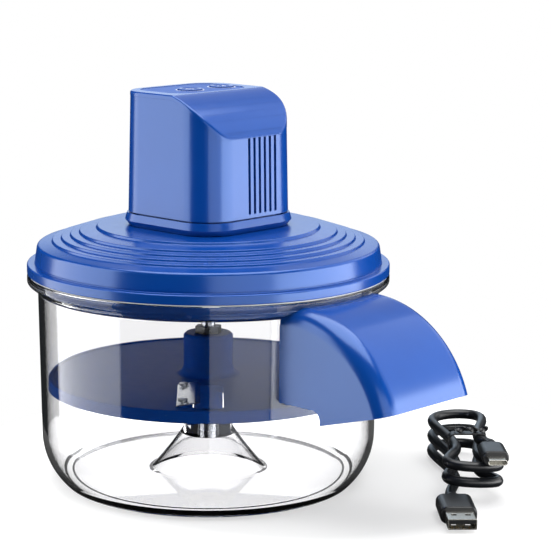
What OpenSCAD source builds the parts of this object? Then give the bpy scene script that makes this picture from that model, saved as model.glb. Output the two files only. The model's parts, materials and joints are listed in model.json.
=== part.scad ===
// Electric grape peeler: a clear bowl, a spinning peeling disc, a stepped lid and a motor head.
// Millimetres, +Z up. The origin is the centre of the bowl's foot, and the outlet chute points along +X.

/* [Bowl] */
// Outer radius of the bowl wall just under its rim
bowl_r = 75.3; // [70:0.1:82]
// Height of the bowl from its foot to the top of its rim
bowl_h = 93.4; // [86:0.1:105]
// Thickness of the bowl wall
bowl_wall = 2.3; // [1.8:0.1:3]
// How much the straight wall narrows towards the floor
bowl_draft = 1.0; // [0.4:0.1:2]
// Radius of the round corner between wall and floor
corner_r = 30; // [24:0.5:34]
// Height at which that round corner starts
corner_z = 22; // [18:0.5:24]
// Width of the foot ring
foot_w = 3.4; // [2.5:0.1:5]
// Depth of the recess inside the foot ring
foot_h = 2.0; // [1:0.1:3]
// Thickness of the floor
floor_t = 2.5; // [1.8:0.1:3.5]
// How far the rim stands out from the wall
rim_w = 4.7; // [3:0.1:6]
// Thickness of the rim's edge
rim_t = 3.4; // [2.5:0.1:5]
// Height of the sloping underside of the rim
rim_slope = 3.6; // [2:0.1:5]
// Radius of the moulded cone where it leaves the floor
cone_r = 25; // [22:0.5:30]
// Radius of the top of the cone
cone_top_r = 9.5; // [8:0.1:12]
// Height of the cone above the floor
cone_h = 21.5; // [18:0.5:25]
// Thickness of the solid top of the cone
cone_cap = 6; // [4:0.5:8]

/* [Disc] */
// Gap between the disc's edge and the narrow end of the bowl's wall
disc_gap = 0.7; // [0.5:0.1:2]
// Height of the disc's rim
disc_band = 5.3; // [4:0.1:8]
// Thickness of the disc's plate
disc_t = 2.8; // [2:0.1:4]
// Width of the disc's rim
disc_rim_w = 2.5; // [1.5:0.1:4]
// Height of the disc's rim above its plate
disc_lip = 0.5; // [0.3:0.1:1]
// How far the hub reaches below the rim
hub_drop = 15.2; // [12:0.1:20]
// Outer radius of the hub above the plate
hub_r = 11; // [9.5:0.1:14]
// Height of the hub above the rim
hub_h = 18; // [14:0.5:24]
// Thickness of the hub between the pin's end and the drive socket
socket_floor = 4.5; // [3:0.1:6]
// Outer radius of the hub below the plate
sleeve_r = 6.5; // [5:0.1:8]
// Inner end of the peeling slot, from the axis
slot_in = 24; // [20:0.5:30]
// Distance from the slot's outer end to the disc's edge
slot_margin = 7.3; // [5:0.1:16]
// Width of the peeling slot
slot_w = 13; // [8:0.5:16]
// Direction of the slot at rest, in degrees from the chute
slot_dir = -45; // [-180:1:180]
// Thickness of the blade
blade_t = 0.6; // [0.4:0.1:1]
// Width of the blade from its back to its edge
blade_w = 9.8; // [8:0.1:12]
// How far the blade's edge stands out over the slot
blade_reach = 3.1; // [1:0.1:4]
// Slope of the blade, in degrees
blade_tilt = 9.7; // [5:0.1:14]
// Radius of the blade screws' heads
blade_screw_r = 2.0; // [1.6:0.1:2.4]
// Radius of the pivot pin
pin_r = 3; // [2:0.1:3.5]
// Length of the pivot pin inside the hub
pin_up = 15; // [10:0.5:18]
// Thickness of the thrust washer
washer_t = 1.2; // [0.8:0.1:2]

/* [Lid] */
// How far the lid's flange stands out past the rim
lid_over = 0; // [0:0.1:1]
// Gap between the bowl's rim and the lid's flange
rim_gap = 0.5; // [0.3:0.1:1]
// Thickness of the lid's flange
flange_t = 4.2; // [3:0.1:6]
// Height of the groove between flange and band
band_groove = 0.9; // [0.5:0.1:2]
// Height of the upright band above the flange
band_h = 7.1; // [5:0.1:10]
// How far the band stands in from the flange's edge
band_in = 3.5; // [2.5:0.1:6]
// Height of the lid from flange underside to plateau
lid_rise = 20.6; // [17:0.1:26]
// Number of concentric steps on the lid
step_count = 4; // [2:1:5]
// Distance of the outermost step in from the band
step_in = 8.4; // [6:0.1:10]
// Radial pitch of the steps
step_pitch = 4.0; // [3:0.1:4.5]
// Height of each step's riser
step_h = 0.9; // [0.5:0.1:1.2]
// Distance from the innermost step to the plateau that carries the head
plateau_in = 7.7; // [6:0.1:10]
// Thickness of the lid
lid_t = 2.4; // [1.8:0.1:3]
// Radius of the hole for the head's spigot
lid_hole_r = 12; // [10.5:0.1:16]
// Wall of the lid's ring inside the bowl
plug_wall = 2.2; // [1.6:0.1:3]
// Gap between that ring and the bowl wall
plug_gap = 0.8; // [0.5:0.1:1.5]
// Depth of the lid's ring inside the bowl
plug_d = 5.0; // [3:0.1:5.2]
// Width of the sealing gasket
gasket_w = 3.6; // [2.5:0.1:4]
// Thickness of the sealing gasket
gasket_t = 2.0; // [1.5:0.1:2.6]

/* [Head] */
// Half the width of the motor head at its foot
head_half = 29.4; // [28.5:0.1:33]
// Corner radius of the head at its foot
head_r = 15.6; // [14.5:0.1:17]
// How much each side of the head leans in up to its top
head_draft = 1.0; // [0.5:0.1:2]
// Height of the head's housing and cover
head_h = 52.5; // [50:0.5:60]
// Wall of the housing
head_wall = 2.2; // [1.6:0.1:2.6]
// Height of the base collar
collar_h = 5.0; // [4:0.1:7]
// How far the collar bulges past the housing
collar_out = 1.3; // [0.8:0.1:2.5]
// Height of the groove between collar and housing
groove_h = 1.4; // [0.8:0.1:2.5]
// Floor of the base
base_t = 2.8; // [2:0.1:3.6]
// Height of the base's rim inside the housing, above the groove
base_rim_h = 3; // [2:0.1:5]
// Radius of the cover's front waterfall
fall_r = 33; // [31:0.5:36]
// How far the flat top runs past the axis before the waterfall
fall_x = 6; // [5:0.1:7]
// How steep the waterfall starts, in degrees
fall_tilt = 12; // [9:0.5:14]
// Height of the cover's front edge under the flat top
fall_drop = 18.4; // [17.5:0.1:19]
// Thickness of the cover
cover_t = 2; // [1.5:0.1:2.4]
// Depth of the cover's inner skirt
skirt_h = 4; // [2.5:0.1:4.5]
// Number of ventilation slots
vent_count = 6; // [3:1:8]
// Width of each ventilation slot
vent_w = 1.4; // [1:0.1:1.8]
// Distance between ventilation slots
vent_pitch = 3.2; // [2.4:0.1:3.3]
// Sideways shift of the row of slots
vent_shift = 3.9; // [0:0.1:4]
// Width of the control panel
panel_w = 44; // [40:0.5:45]
// Back edge of the control panel, behind the axis
panel_back = 25; // [20:0.5:25.2]
// Corner radius of the control panel
panel_r = 9; // [5:0.5:10]
// Thickness of the control panel
panel_t = 0.6; // [0.4:0.1:0.8]
// Radius of a push button
button_r = 5.4; // [4:0.1:5.8]
// Distance between the two buttons
button_pitch = 19.5; // [16:0.5:20]
// Sideways shift of the pair of buttons
button_shift = 5.5; // [0:0.1:6]
// Distance of the buttons behind the axis
button_back = 7; // [5:0.1:9]
// How far a button stands above the panel
button_up = 0.7; // [0.4:0.1:1.5]
// Height of a push switch on the board
switch_h = 1.4; // [1:0.1:2]
// Side of a push switch
switch_w = 6; // [4:0.1:6.5]
// Length of the circuit board
board_l = 27; // [24:0.5:27.5]
// Width of the circuit board
board_w = 39; // [36:0.5:40]
// Width of the charging socket
usb_w = 8.94; // [8.6:0.01:9.4]
// Height of the charging socket
usb_h = 3.26; // [3:0.01:3.6]
// Length of the charging socket
usb_l = 7.3; // [6.5:0.1:8]
// Travel of a button
button_travel = 1.0; // [0.6:0.1:1.1]

/* [Drive] */
// Module of the gears
gear_m = 0.5; // [0.48:0.01:0.52]
// Teeth of the gear on the output shaft
out_teeth = 46; // [40:1:46]
// Teeth of the idler's small gear
small_teeth = 14; // [12:1:15]
// Teeth of the idler's large gear
large_teeth = 40; // [36:1:41]
// Teeth of the motor's pinion
pinion_teeth = 12; // [11:1:14]
// Direction of the idler from the shaft, in degrees
idler_dir = 90; // [85:1:95]
// Direction of the motor from the idler, in degrees
motor_dir = 202.6; // [200:0.1:206]
// Face width of the gears
gear_w = 4; // [3:0.1:4.4]
// Height of the lower gears above the base's floor
gear_lift = 4.4; // [3.5:0.1:5]
// Radius of the output shaft
shaft_r = 3; // [2:0.1:3.4]
// Radius of the drive dog's corners
dog_r = 6; // [5:0.1:7]
// Length of the drive dog
dog_l = 16; // [13:0.5:20]
// Outer radius of the bushes
bush_r = 5; // [4.2:0.1:6]
// Radius of the idler's pin
idler_pin_r = 1.5; // [1:0.1:2]
// Radius of the motor can
motor_r = 12.2; // [10:0.1:12.6]
// Length of the motor can
motor_l = 28; // [22:0.5:28.5]
// Radius of the motor's own shaft
motor_shaft_r = 1.0; // [0.8:0.1:1.2]
// Thickness of the gear plate
plate_t = 2; // [1.5:0.1:2.4]
// Radius of the battery cell
cell_r = 7; // [6.5:0.1:7.4]
// Length of the battery cell
cell_l = 43; // [35:0.5:44]
// Thickness of the circuit board
board_t = 1.6; // [1:0.1:1.8]

/* [Chute] */
// Outer width of the chute
chute_w = 57; // [48:0.5:60]
// Wall of the chute
chute_wall = 2.2; // [1.8:0.1:3]
// Radius of the curved hood
hood_r = 51.8; // [48:0.1:56]
// Distance of the hood's centre past the bowl wall
hood_out = 2.7; // [1:0.1:5]
// Distance of the hood's crown below the bowl rim's top
hood_drop = 2.3; // [1.5:0.1:4]
// Radius of the hood's rounded edges
hood_edge = 8; // [6:0.1:9]
// Height of the window's sill above the disc
sill_up = 3.2; // [2:0.1:5]
// Distance from the window's top to the bowl's
window_drop = 5.9; // [5:0.1:8]
// Distance from the hood's centre to the lip of its floor
lip_out = 14.4; // [11:0.1:18]
// Depth of that lip below the floor
lip_drop = 5.8; // [3:0.1:8]
// Upward slope of the side walls' lower edges, in degrees
mouth_slope = 16; // [10:0.5:20]
// How far the chute's neck stands in from its side walls
neck_in = 3; // [2.5:0.1:5]

/* [Cable] */
// Diameter of the charging cable
cord_d = 4.5; // [3.5:0.1:4.6]
// Reach of the long loops from the tie
long_reach = 50; // [44:1:56]
// Reach of the short loops from the tie
short_reach = 26; // [22:1:30]
// Widest half width of the loops
loop_half = 17.5; // [15:0.5:20]
// Half width of the hank at its tie
waist_half = 5; // [4:0.5:8]
// Height gained by the cable in one full loop
loop_rise = 7; // [6.8:0.1:8]
// Where the tie lies along the chute's direction
hank_x = 92; // [88:1:110]
// Where the tie lies across the chute's direction
hank_y = 70; // [66:1:90]

/* [Fits] */
// Radial gap of a turning shaft or pin
run_gap = 0.05; // [0.03:0.01:0.08]
// Gap between pieces that slide or lift past each other
slide_gap = 0.3; // [0.25:0.01:0.5]
// Gap at fixed seams and around screws
seam = 0.1; // [0.05:0.01:0.2]

/* [Hidden] */
$fn = 96;
cut = 1;
edge = 0.5;
gear_gap = 0.6;
plate_gap = 1.3;
button_gap = 0.15;
panel_sink = 0.2;
panel_margin = 0.5;
button_lip = 1.1;
button_dish = 0.4;
button_round = 0.6;
stem_r = 2;
button_flange_t = 1.2;
stem_l = 2.05;
boss_in = 8.4;
boss_r = 3.4;
screw_r = 1.5;
screw_head_r = 2.5;
screw_sink = 1.5;
rib_t = 1.6;
vent_margin = 1.2;
peg_r = 2.2;
peg_pin_r = 1;
skirt_back = 4;
post_r = 2.8;
post_hole_r = 1.25;
motor_hole_at = 8;
usb_wall = 0.36;
cell_cap_r = 2.6;
cell_cap_h = 1;
motor_cap_r = 4;
motor_cap_h = 1;
motor_hole_r = 1;
motor_hole_d = 4;
shaft_in = 8;
dog_gap = 1;
seal_up = 1;
dog_floor = 4;
plate_in = 3;
plate_corner = 8;
motor_nose_r = 3.2;
plate_screw_l = 7;
plate_screw_head = [2.4, 1.4];
motor_screw_head = [1.8, 0.8];
usb_set_in = 0.6;
usb_tongue_in = 2;
usb_tongue_w = 6.6;
usb_tongue_t = 0.7;
hub_fillet = 4;
lip_r = 4;
neck_reach = 1.6;
shoulder_r = 1.5;
flange_edge = 0.8;
band_lean = 0.9;
crown_h = 2.1;
step_slope = 0.4;
step_round = 0.9;
seal_bite = 0.4;
lid_slope = 5;
slot_corner = 3;
blade_lift = 0.2;
blade_end_gap = 1;
blade_screw_in = 6;
blade_screw_back = 2.6;
blade_screw_h = 0.9;
blade_bevel = 2.2;
tooth_up = 0.85;
tooth_down = 1.2;
tooth_share = 0.7;
tooth_slope = 20;
blue = "#3f66bf";
deep_blue = "#2f52a8";
steel = "#c9ccd1";
nylon = "#ece9e0";
black = "#1d1d20";
green = "#2c6b3f";
wrap = "#6fa86a";
bronze = "#b88a4a";

// Heights, from the foot upwards
floor_z = foot_h + floor_t;
cone_z = floor_z + cone_h;
hub_z = cone_z + washer_t + seam;
disc_z = hub_z + hub_drop;
disc_top = disc_z + disc_band;
plate_top = disc_top - disc_lip;
hub_top = disc_top + hub_h;
socket_z = plate_top + socket_floor;
flange_z = bowl_h + rim_gap;
band_z = flange_z + flange_t + band_groove;
plateau_z = flange_z + lid_rise;
head_z = plateau_z + seam;
collar_z = head_z + collar_h;
shell_z = collar_z + groove_h;
top_z = shell_z + head_h;
base_top = head_z + base_t;
low_gear_z = base_top + gear_lift;
high_gear_z = low_gear_z + gear_w + gear_gap;
gear_plate_z = high_gear_z + gear_w + plate_gap;
plate_up = gear_plate_z + plate_t;
flat_z = top_z - cover_t;
panel_z = top_z - panel_t - panel_sink;
switch_top = flat_z - button_gap - stem_l - slide_gap - button_travel;
board_z = switch_top - switch_h - board_t;

// Radii and places that follow from other pieces
bowl_in = bowl_r - bowl_wall;
rim_r = bowl_r + rim_w;
lid_r = rim_r + lid_over;
band_r = lid_r - band_in;
plug_r = bowl_in - plug_gap;
disc_r = bowl_in - bowl_draft - disc_gap;
slot_out = disc_r - slot_margin;
step_r = band_r - step_in;
last_step_r = step_r - (step_count - 1) * step_pitch;
plateau_r = last_step_r - plateau_in;
gasket_in = rim_r - (rim_w + gasket_w) / 2;
low_r = bowl_r - bowl_draft;
arc_r = low_r - corner_r;
foot_r = arc_r + sqrt(corner_r * corner_r - corner_z * corner_z);
idler_d = gear_m * (out_teeth + small_teeth) / 2;
motor_d = gear_m * (large_teeth + pinion_teeth) / 2;
idler_at = idler_d * [cos(idler_dir), sin(idler_dir)];
motor_at = idler_at + motor_d * [cos(motor_dir), sin(motor_dir)];
motor_holes = [[-motor_hole_at, 0], [motor_hole_at, 0]];
cell_at = [11.5, -16.2];
post_at = [[15.4 - head_half, 9.4 - head_half], [head_half - boss_in, 11], [7.4 - head_half, -4]];
board_back = 6.4 - head_half;
peg_at = [[10.4 - head_half, -15], [10.4 - head_half, 15], [1, -16]];
boss_at = [for (x = [-1, 1], y = [-1, 1]) [x, y] * (head_half - boss_in)];
button_at = [for (s = [-0.5, 0.5]) [-button_back, button_shift + s * button_pitch]];
boss_h = gear_plate_z - shell_z - screw_r;
pin_seat = head_z + base_t / 3;
base_screw_l = shell_z + boss_h - rib_t - edge - head_z - screw_sink;
fall_z = top_z - fall_r * cos(fall_tilt);
fall_mid = fall_x - fall_r * sin(fall_tilt);
cover_low = top_z - fall_drop;
hood_x = bowl_r + hood_out;
hood_z = bowl_h - hood_drop - hood_r;
lip_x = hood_x + lip_out;
sill_z = disc_top + sill_up;
lip_z = sill_z - lip_drop;
window_low = sill_z - sill_up / 2;
window_top = bowl_h - window_drop;
window_half = chute_w / 2 - neck_in;
blade_back = -slot_w / 2 + blade_reach - blade_w;
pad_back = blade_back - slide_gap;

// Points on an arc in a profile, from one angle to another
function arc(x, y, r, from, to, n) = [for (i = [0:n]) let (a = from + (to - from) * i / n)
    [x + r * cos(a), y + r * sin(a)]];

// The hollow cone's flare: radius at a share of its height
function flare(t) = cone_top_r + (cone_r - cone_top_r) * (1 - t) * (1 - t);

// Places copies of a shape at a list of points
module at_points(points) {
    for (p = points) translate([p[0], p[1], 0]) children();
}

// A rounded square with exact corner arcs
module rounded_rect(x0, x1, y0, y1, r) {
    translate([x0 + r, y0]) square([x1 - x0 - 2 * r, y1 - y0]);
    translate([x0, y0 + r]) square([x1 - x0, y1 - y0 - 2 * r]);
    for (x = [x0 + r, x1 - r], y = [y0 + r, y1 - r]) translate([x, y]) circle(r);
}

// A leaning rounded-square block between two heights
module block(low, high, low_in, high_in) {
    c = head_half - head_r;
    hull()
        for (x = [-c, c], y = [-c, c])
            translate([x, y, low])
                cylinder(r1 = head_r - low_in, r2 = head_r - high_in, h = high - low, $fn = 64);
}

// The head's column, set in from its outer skin
module column(inset, low, high) {
    lean = head_draft / head_h;
    block(low, high, inset + lean * (low - shell_z), inset + lean * (high - shell_z));
}

// All that lies under the cover's skin, set in from it
module under_cover(inset, low) {
    big = 2 * head_half;
    translate([-big, -big, shell_z - big]) cube([2 * big, 2 * big, low - shell_z + big]);
    intersection() {
        translate([-big, -big, low - cut]) cube([2 * big, 2 * big, top_z - inset - low + cut]);
        union() {
            translate([-big, -big, shell_z]) cube([big + fall_mid, 2 * big, big]);
            translate([fall_mid, 0, fall_z]) rotate([90, 0, 0])
                cylinder(r = fall_r - inset, h = 2 * big, center = true);
        }
    }
}

// A spur gear with straight-sided teeth, one tooth pointing along +X
module gear(teeth, h, bore) {
    pitch_r = gear_m * teeth / 2;
    tip_r = pitch_r + tooth_up * gear_m;
    root_r = pitch_r - tooth_down * gear_m;
    half = tooth_share * 90 / teeth;
    slope = tan(tooth_slope) * 180 / PI / pitch_r;
    difference() {
        linear_extrude(h) polygon([for (i = [0:teeth - 1], s = [-1, 1], k = (s < 0) ? [0, 1] : [1, 0])
            let (r = (k == 0) ? root_r : tip_r, a = 360 * i / teeth + s * (half - slope * (r - pitch_r)))
            [r * cos(a), r * sin(a)]]);
        translate([0, 0, -cut]) cylinder(r = bore, h = h + 2 * cut);
    }
}

// A screw that points down, with its head resting at height 0
module screw(head_radius, head_height, shank_r, length) {
    cylinder(r = head_radius, h = head_height);
    translate([0, 0, -length]) cylinder(r = shank_r, h = length);
}

// A plain ring
module ring(outer, inner, h) {
    difference() {
        cylinder(r = outer, h = h);
        translate([0, 0, -cut]) cylinder(r = inner, h = h + 2 * cut);
    }
}

module bowl() {
    inner_arc = corner_r - bowl_wall;
    floor_a = asin((corner_z - floor_z) / inner_arc);
    cap_t = (cone_h - cone_cap) / cone_h;
    rim_z = bowl_h - rim_t;
    color([0.92, 0.95, 0.98, 0.35]) difference() {
        rotate_extrude() polygon(concat(
            arc(arc_r, corner_z, corner_r, -asin(corner_z / corner_r), 0, 8),
            [[bowl_r, rim_z - rim_slope], [rim_r, rim_z], [rim_r, bowl_h - edge], [rim_r - edge, bowl_h],
             [bowl_in + edge, bowl_h], [bowl_in, bowl_h - edge]],
            arc(arc_r, corner_z, inner_arc, 0, -floor_a, 8),
            [for (i = [0:8]) [flare(i / 8), floor_z + cone_h * i / 8]],
            [[0, cone_z], [0, cone_z - cone_cap]],
            [for (i = [6:-1:0]) let (t = cap_t * i / 6)
                [flare(t) - bowl_wall, foot_h + (cone_z - cone_cap - foot_h) * i / 6]],
            [[foot_r - foot_w, foot_h], [foot_r - foot_w, 0]]));
        translate([bowl_in / 2, -window_half, window_low])
            cube([bowl_r, 2 * window_half, window_top - window_low]);
        translate([0, 0, cone_z - cone_cap - cut]) cylinder(r = pin_r, h = cone_cap + 2 * cut);
    }
}

module pivot_pin() {
    color(steel) translate([0, 0, cone_z - cone_cap]) cylinder(r = pin_r, h = cone_cap + washer_t + pin_up);
}

module thrust_washer() {
    color(nylon) translate([0, 0, cone_z]) ring(cone_top_r - edge, pin_r + seam, washer_t);
}

// Everything inside the chute's outer skin, set in from it
module hood(inset) {
    half = chute_w / 2 - inset;
    round_r = hood_edge - inset / sqrt(2);
    translate([hood_x, 0, hood_z]) rotate([-90, 0, 0]) rotate_extrude()
        intersection() {
            rounded_rect(-hood_r + inset, hood_r - inset, -half, half, round_r);
            translate([0, -half]) square([hood_r, 2 * half]);
        }
}

// The bend at the end of the chute's floor, on its underside or a wall's thickness above it
function lip_bend(t) = concat(arc(lip_x - lip_r, sill_z - lip_r, lip_r + t, 90, 0, 5),
    [[lip_x + t, lip_z + t * tan(mouth_slope)]]);

// The chute's side outline above its lower edges
module chute_side() {
    far = hood_x + 2 * hood_r;
    polygon(concat([[bowl_in / 2, sill_z]], lip_bend(0),
        [[far, lip_z + (far - lip_x) * tan(mouth_slope)], [far, bowl_h], [bowl_in / 2, bowl_h]]));
}

// The chute's floor, from inside the window to its lip
module chute_floor() {
    upper = lip_bend(chute_wall);
    polygon(concat([[bowl_in / 2, sill_z]], lip_bend(0),
        [for (i = [len(upper) - 1:-1:0]) upper[i]], [[bowl_in / 2, sill_z + chute_wall]]));
}

// A side outline carried across the chute
module across(half) {
    rotate([90, 0, 0]) linear_extrude(2 * half, center = true) children();
}

module chute() {
    outer_half = chute_w / 2;
    neck_half = window_half - seam;
    neck_top = window_top - seam;
    rim_z = bowl_h - rim_t;
    color(blue) {
        difference() {
            intersection() {
                hood(0);
                across(outer_half) chute_side();
            }
            difference() {
                hood(chute_wall);
                across(outer_half) chute_floor();
            }
            cylinder(r = bowl_r + seam, h = bowl_h);
            translate([0, 0, rim_z - rim_slope - seam])
                cylinder(r1 = bowl_r + seam, r2 = rim_r + seam, h = rim_slope);
            translate([0, 0, rim_z - seam]) cylinder(r = rim_r + seam, h = rim_t + cut);
        }
        intersection() {
            difference() {
                translate([bowl_in / 2, -neck_half, window_low + seam])
                    cube([bowl_r, 2 * neck_half, neck_top - window_low - seam]);
                translate([0, -neck_half + chute_wall, sill_z + chute_wall])
                    cube([2 * bowl_r, 2 * (neck_half - chute_wall), neck_top - sill_z - 2 * chute_wall]);
            }
            ring(bowl_r + edge, bowl_in - neck_reach, bowl_h);
        }
    }
}

module disc() {
    under = plate_top - disc_t;
    color(blue) difference() {
        union() {
            rotate_extrude() polygon(concat([[0, hub_z], [sleeve_r, hub_z], [sleeve_r, under - hub_fillet / 2], [sleeve_r + hub_fillet / 2, under],
                [disc_r - disc_rim_w, under], [disc_r - disc_rim_w, disc_z], [disc_r - edge, disc_z],
                [disc_r, disc_z + edge], [disc_r, disc_top - edge], [disc_r - edge, disc_top],
                [disc_r - disc_rim_w + disc_lip, disc_top], [disc_r - disc_rim_w, plate_top]],
                arc(hub_r + hub_fillet, plate_top + hub_fillet, hub_fillet, 270, 180, 4),
                [[hub_r, hub_top - 2 * edge], [hub_r - 2 * edge, hub_top], [0, hub_top]]));
            blade_pad();
        }
        slot_cut();
        translate([0, 0, hub_z - cut]) cylinder(r = pin_r + run_gap, h = washer_t + pin_up + cut);
        translate([0, 0, socket_z]) cylinder(r = dog_r + slide_gap, h = hub_top - socket_z + cut, $fn = 6);
        blade_holes() cylinder(r = blade_screw_r / 2 + seam, h = hub_top, center = true);
    }
}

// Slot frame: X runs out along the slot, Y across it, Z from the plate's top
module slot_frame() {
    rotate([0, 0, slot_dir]) translate([0, 0, plate_top]) children();
}

module slot_cut() {
    slot_frame() translate([0, 0, -disc_t - cut]) linear_extrude(disc_t + hub_h)
        rounded_rect(slot_in, slot_out, -slot_w / 2, slot_w / 2, slot_corner);
}

// Height of the blade's underside over the plate
function blade_z(y) = blade_lift + (y - pad_back) * tan(blade_tilt);

// A profile across the slot, carried along the blade's length
module along_blade(trim) {
    slot_frame() translate([slot_in + trim, 0, 0]) rotate([90, 0, 90]) linear_extrude(slot_out - slot_in - 2 * trim)
        children();
}

module blade_pad() {
    side = -slot_w / 2;
    along_blade(blade_end_gap) polygon([[pad_back, -disc_t / 2], [side, -disc_t / 2], [side, blade_z(side)],
        [pad_back, blade_z(pad_back)]]);
}

// Places its child at the two screws behind the slot
module blade_holes() {
    for (x = [slot_in + blade_screw_in, slot_out - blade_screw_in])
        slot_frame() translate([x, blade_back + blade_screw_back, 0]) children();
}

module blade() {
    tip = blade_back + blade_w;
    color(steel) difference() {
        along_blade(blade_end_gap + edge) polygon([[blade_back, blade_z(blade_back)], [tip, blade_z(tip)],
            [tip - blade_bevel, blade_z(tip - blade_bevel) + blade_t], [blade_back, blade_z(blade_back) + blade_t]]);
        blade_holes() cylinder(r = blade_screw_r / 2 + seam, h = 2 * hub_h, center = true);
    }
}

module blade_screws() {
    seat = blade_z(blade_back + blade_screw_back + blade_screw_r) + blade_t + run_gap;
    color(steel) blade_holes() translate([0, 0, seat])
        screw(blade_screw_r, blade_screw_h, blade_screw_r / 2, seat + disc_t - edge);
}

// The lid's upper outline, from the flange's lower edge to the plateau
function lid_skin() = let (shoulder = band_z + band_h - shoulder_r, rise = step_h + step_slope,
        last_z = plateau_z - crown_h, first_z = last_z - (step_count - 1) * rise)
    concat([[lid_r, flange_z], [lid_r, flange_z + flange_t - flange_edge], [lid_r - flange_edge, flange_z + flange_t],
        [band_r, flange_z + flange_t], [band_r, band_z], [band_r - band_lean, shoulder]],
        arc(band_r - band_lean - shoulder_r, shoulder, shoulder_r, 15, 80, 4),
        [for (i = [0:step_count - 1], k = [0:2]) let (r = step_r - i * step_pitch, z = first_z + i * rise)
            [[r + step_round, z - step_h], [r + step_round / 3, z - step_h / 4], [r - step_round, z]][k]],
        [[last_step_r - step_pitch, last_z + 2 * step_slope], [plateau_r + step_round, plateau_z - step_slope],
         [plateau_r, plateau_z]]);

module lid() {
    skin = lid_skin();
    under_z = plateau_z - lid_t;
    ring_top = flange_z + flange_t + lid_slope;
    color(blue) difference() {
        rotate_extrude() polygon(concat(skin, [[0, plateau_z], [0, under_z],
            [plateau_r - edge, under_z], [last_step_r - step_pitch, under_z - lid_t],
            [step_r - lid_t, ring_top], [plug_r - plug_wall, ring_top - shoulder_r],
            [plug_r - plug_wall, flange_z - plug_d], [plug_r - edge, flange_z - plug_d],
            [plug_r, flange_z - plug_d + edge], [plug_r, flange_z]]));
        translate([0, 0, under_z - cut]) cylinder(r = lid_hole_r, h = lid_t + 2 * cut);
        translate([0, 0, flange_z - cut])
            ring(gasket_in + gasket_w + seam, gasket_in - seam, gasket_t - seal_bite + cut);
    }
}

module gasket() {
    color(nylon) translate([0, 0, bowl_h + seam]) ring(gasket_in + gasket_w, gasket_in, gasket_t);
}

// A boss on the base's floor that ends just under the gears
module base_boss(r) {
    translate([0, 0, base_top - cut]) cylinder(r = r, h = gear_lift - gear_gap + cut);
}

module head_base() {
    rim_in = head_wall + seam;
    mid = head_z + collar_h / 2;
    spigot_r = lid_hole_r - slide_gap;
    rim_top = shell_z + base_rim_h;
    color(deep_blue) difference() {
        union() {
            block(head_z, mid, 0, -collar_out);
            block(mid, collar_z, -collar_out, slide_gap - collar_out);
            column(rim_in, base_top, rim_top);
            translate([0, 0, plateau_z - lid_t]) cylinder(r = spigot_r, h = lid_t + cut);
        }
        difference() {
            column(rim_in + rib_t, base_top, rim_top + cut);
            at_points([[0, 0]]) base_boss(bush_r + head_wall);
            at_points([idler_at]) base_boss(idler_pin_r + rib_t);
            at_points(post_at) base_boss(post_r);
            at_points([cell_at]) difference() {
                base_boss(cell_r + rib_t);
                translate([0, 0, base_top - 2 * cut]) cylinder(r = cell_r + seam, h = head_h);
            }
        }
        translate([0, 0, plateau_z - lid_t - cut]) cylinder(r = bush_r, h = head_h);
        at_points([idler_at]) translate([0, 0, pin_seat]) cylinder(r = idler_pin_r, h = head_h);
        at_points(post_at) translate([0, 0, base_top]) cylinder(r = post_hole_r, h = head_h);
        at_points(boss_at) {
            translate([0, 0, head_z - cut]) cylinder(r = screw_r + seam, h = head_h);
            translate([0, 0, head_z - cut]) cylinder(r = screw_head_r + slide_gap, h = screw_sink + cut);
            translate([0, 0, base_top]) cylinder(r = boss_r + slide_gap, h = head_h);
        }
    }
    color(deep_blue) at_points(post_at) translate([0, 0, low_gear_z - gear_gap - cut])
        ring(post_r, post_hole_r, gear_plate_z - low_gear_z + gear_gap + cut);
}

module housing() {
    slot_low = shell_z + vent_margin;
    slot_high = cover_low - vent_margin / 2;
    color(blue) difference() {
        intersection() {
            difference() {
                column(0, shell_z, top_z);
                difference() {
                    column(head_wall, shell_z - cut, top_z + cut);
                    at_points(boss_at) translate([0, 0, shell_z]) cylinder(r = boss_r, h = boss_h);
                }
            }
            under_cover(cover_t + seam, cover_low - seam);
        }
        at_points(boss_at) translate([0, 0, shell_z - cut]) cylinder(r = screw_r, h = boss_h - rib_t + cut);
        for (i = [0:vent_count - 1])
            translate([head_half / 2, vent_shift + (i - (vent_count - 1) / 2) * vent_pitch - vent_w / 2, slot_low])
                cube([head_half, vent_w, slot_high - slot_low]);
        translate([-2 * head_half, -usb_w / 2 - slide_gap, board_z - usb_h - slide_gap])
            cube([head_half + usb_l, usb_w + 2 * slide_gap, usb_h + 2 * slide_gap]);
    }
}

module top_cover() {
    skirt_in = head_wall + seam;
    color(blue) difference() {
        union() {
            difference() {
                intersection() {
                    column(0, shell_z, top_z);
                    under_cover(0, cover_low);
                }
                under_cover(cover_t, cover_low);
            }
            intersection() {
                difference() {
                    column(skirt_in, shell_z, flat_z + edge);
                    column(skirt_in + rib_t, shell_z - cut, flat_z + cut);
                }
                translate([-2 * head_half, -2 * head_half, flat_z - skirt_h])
                    cube([2 * head_half + fall_x - skirt_back, 4 * head_half, skirt_h + edge]);
            }
            at_points(peg_at) {
                translate([0, 0, board_z + board_t]) cylinder(r = peg_r, h = flat_z - board_z - board_t + edge);
                translate([0, 0, board_z]) cylinder(r = peg_pin_r, h = board_t + cut);
            }
        }
        translate([0, 0, panel_z]) linear_extrude(panel_t + cut) panel_outline(seam);
        at_points(button_at) translate([0, 0, flat_z - cut]) cylinder(r = button_r + slide_gap, h = cover_t + 2 * cut);
    }
}

// The control panel's outline, grown by a gap
module panel_outline(gap) {
    rounded_rect(-panel_back - gap, fall_x - panel_margin + gap, -panel_w / 2 - gap, panel_w / 2 + gap, panel_r + gap);
}

module panel() {
    color(deep_blue) difference() {
        translate([0, 0, panel_z]) linear_extrude(panel_t) panel_outline(0);
        at_points(button_at) translate([0, 0, flat_z]) cylinder(r = button_r + slide_gap, h = 2 * cover_t);
    }
}

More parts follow.
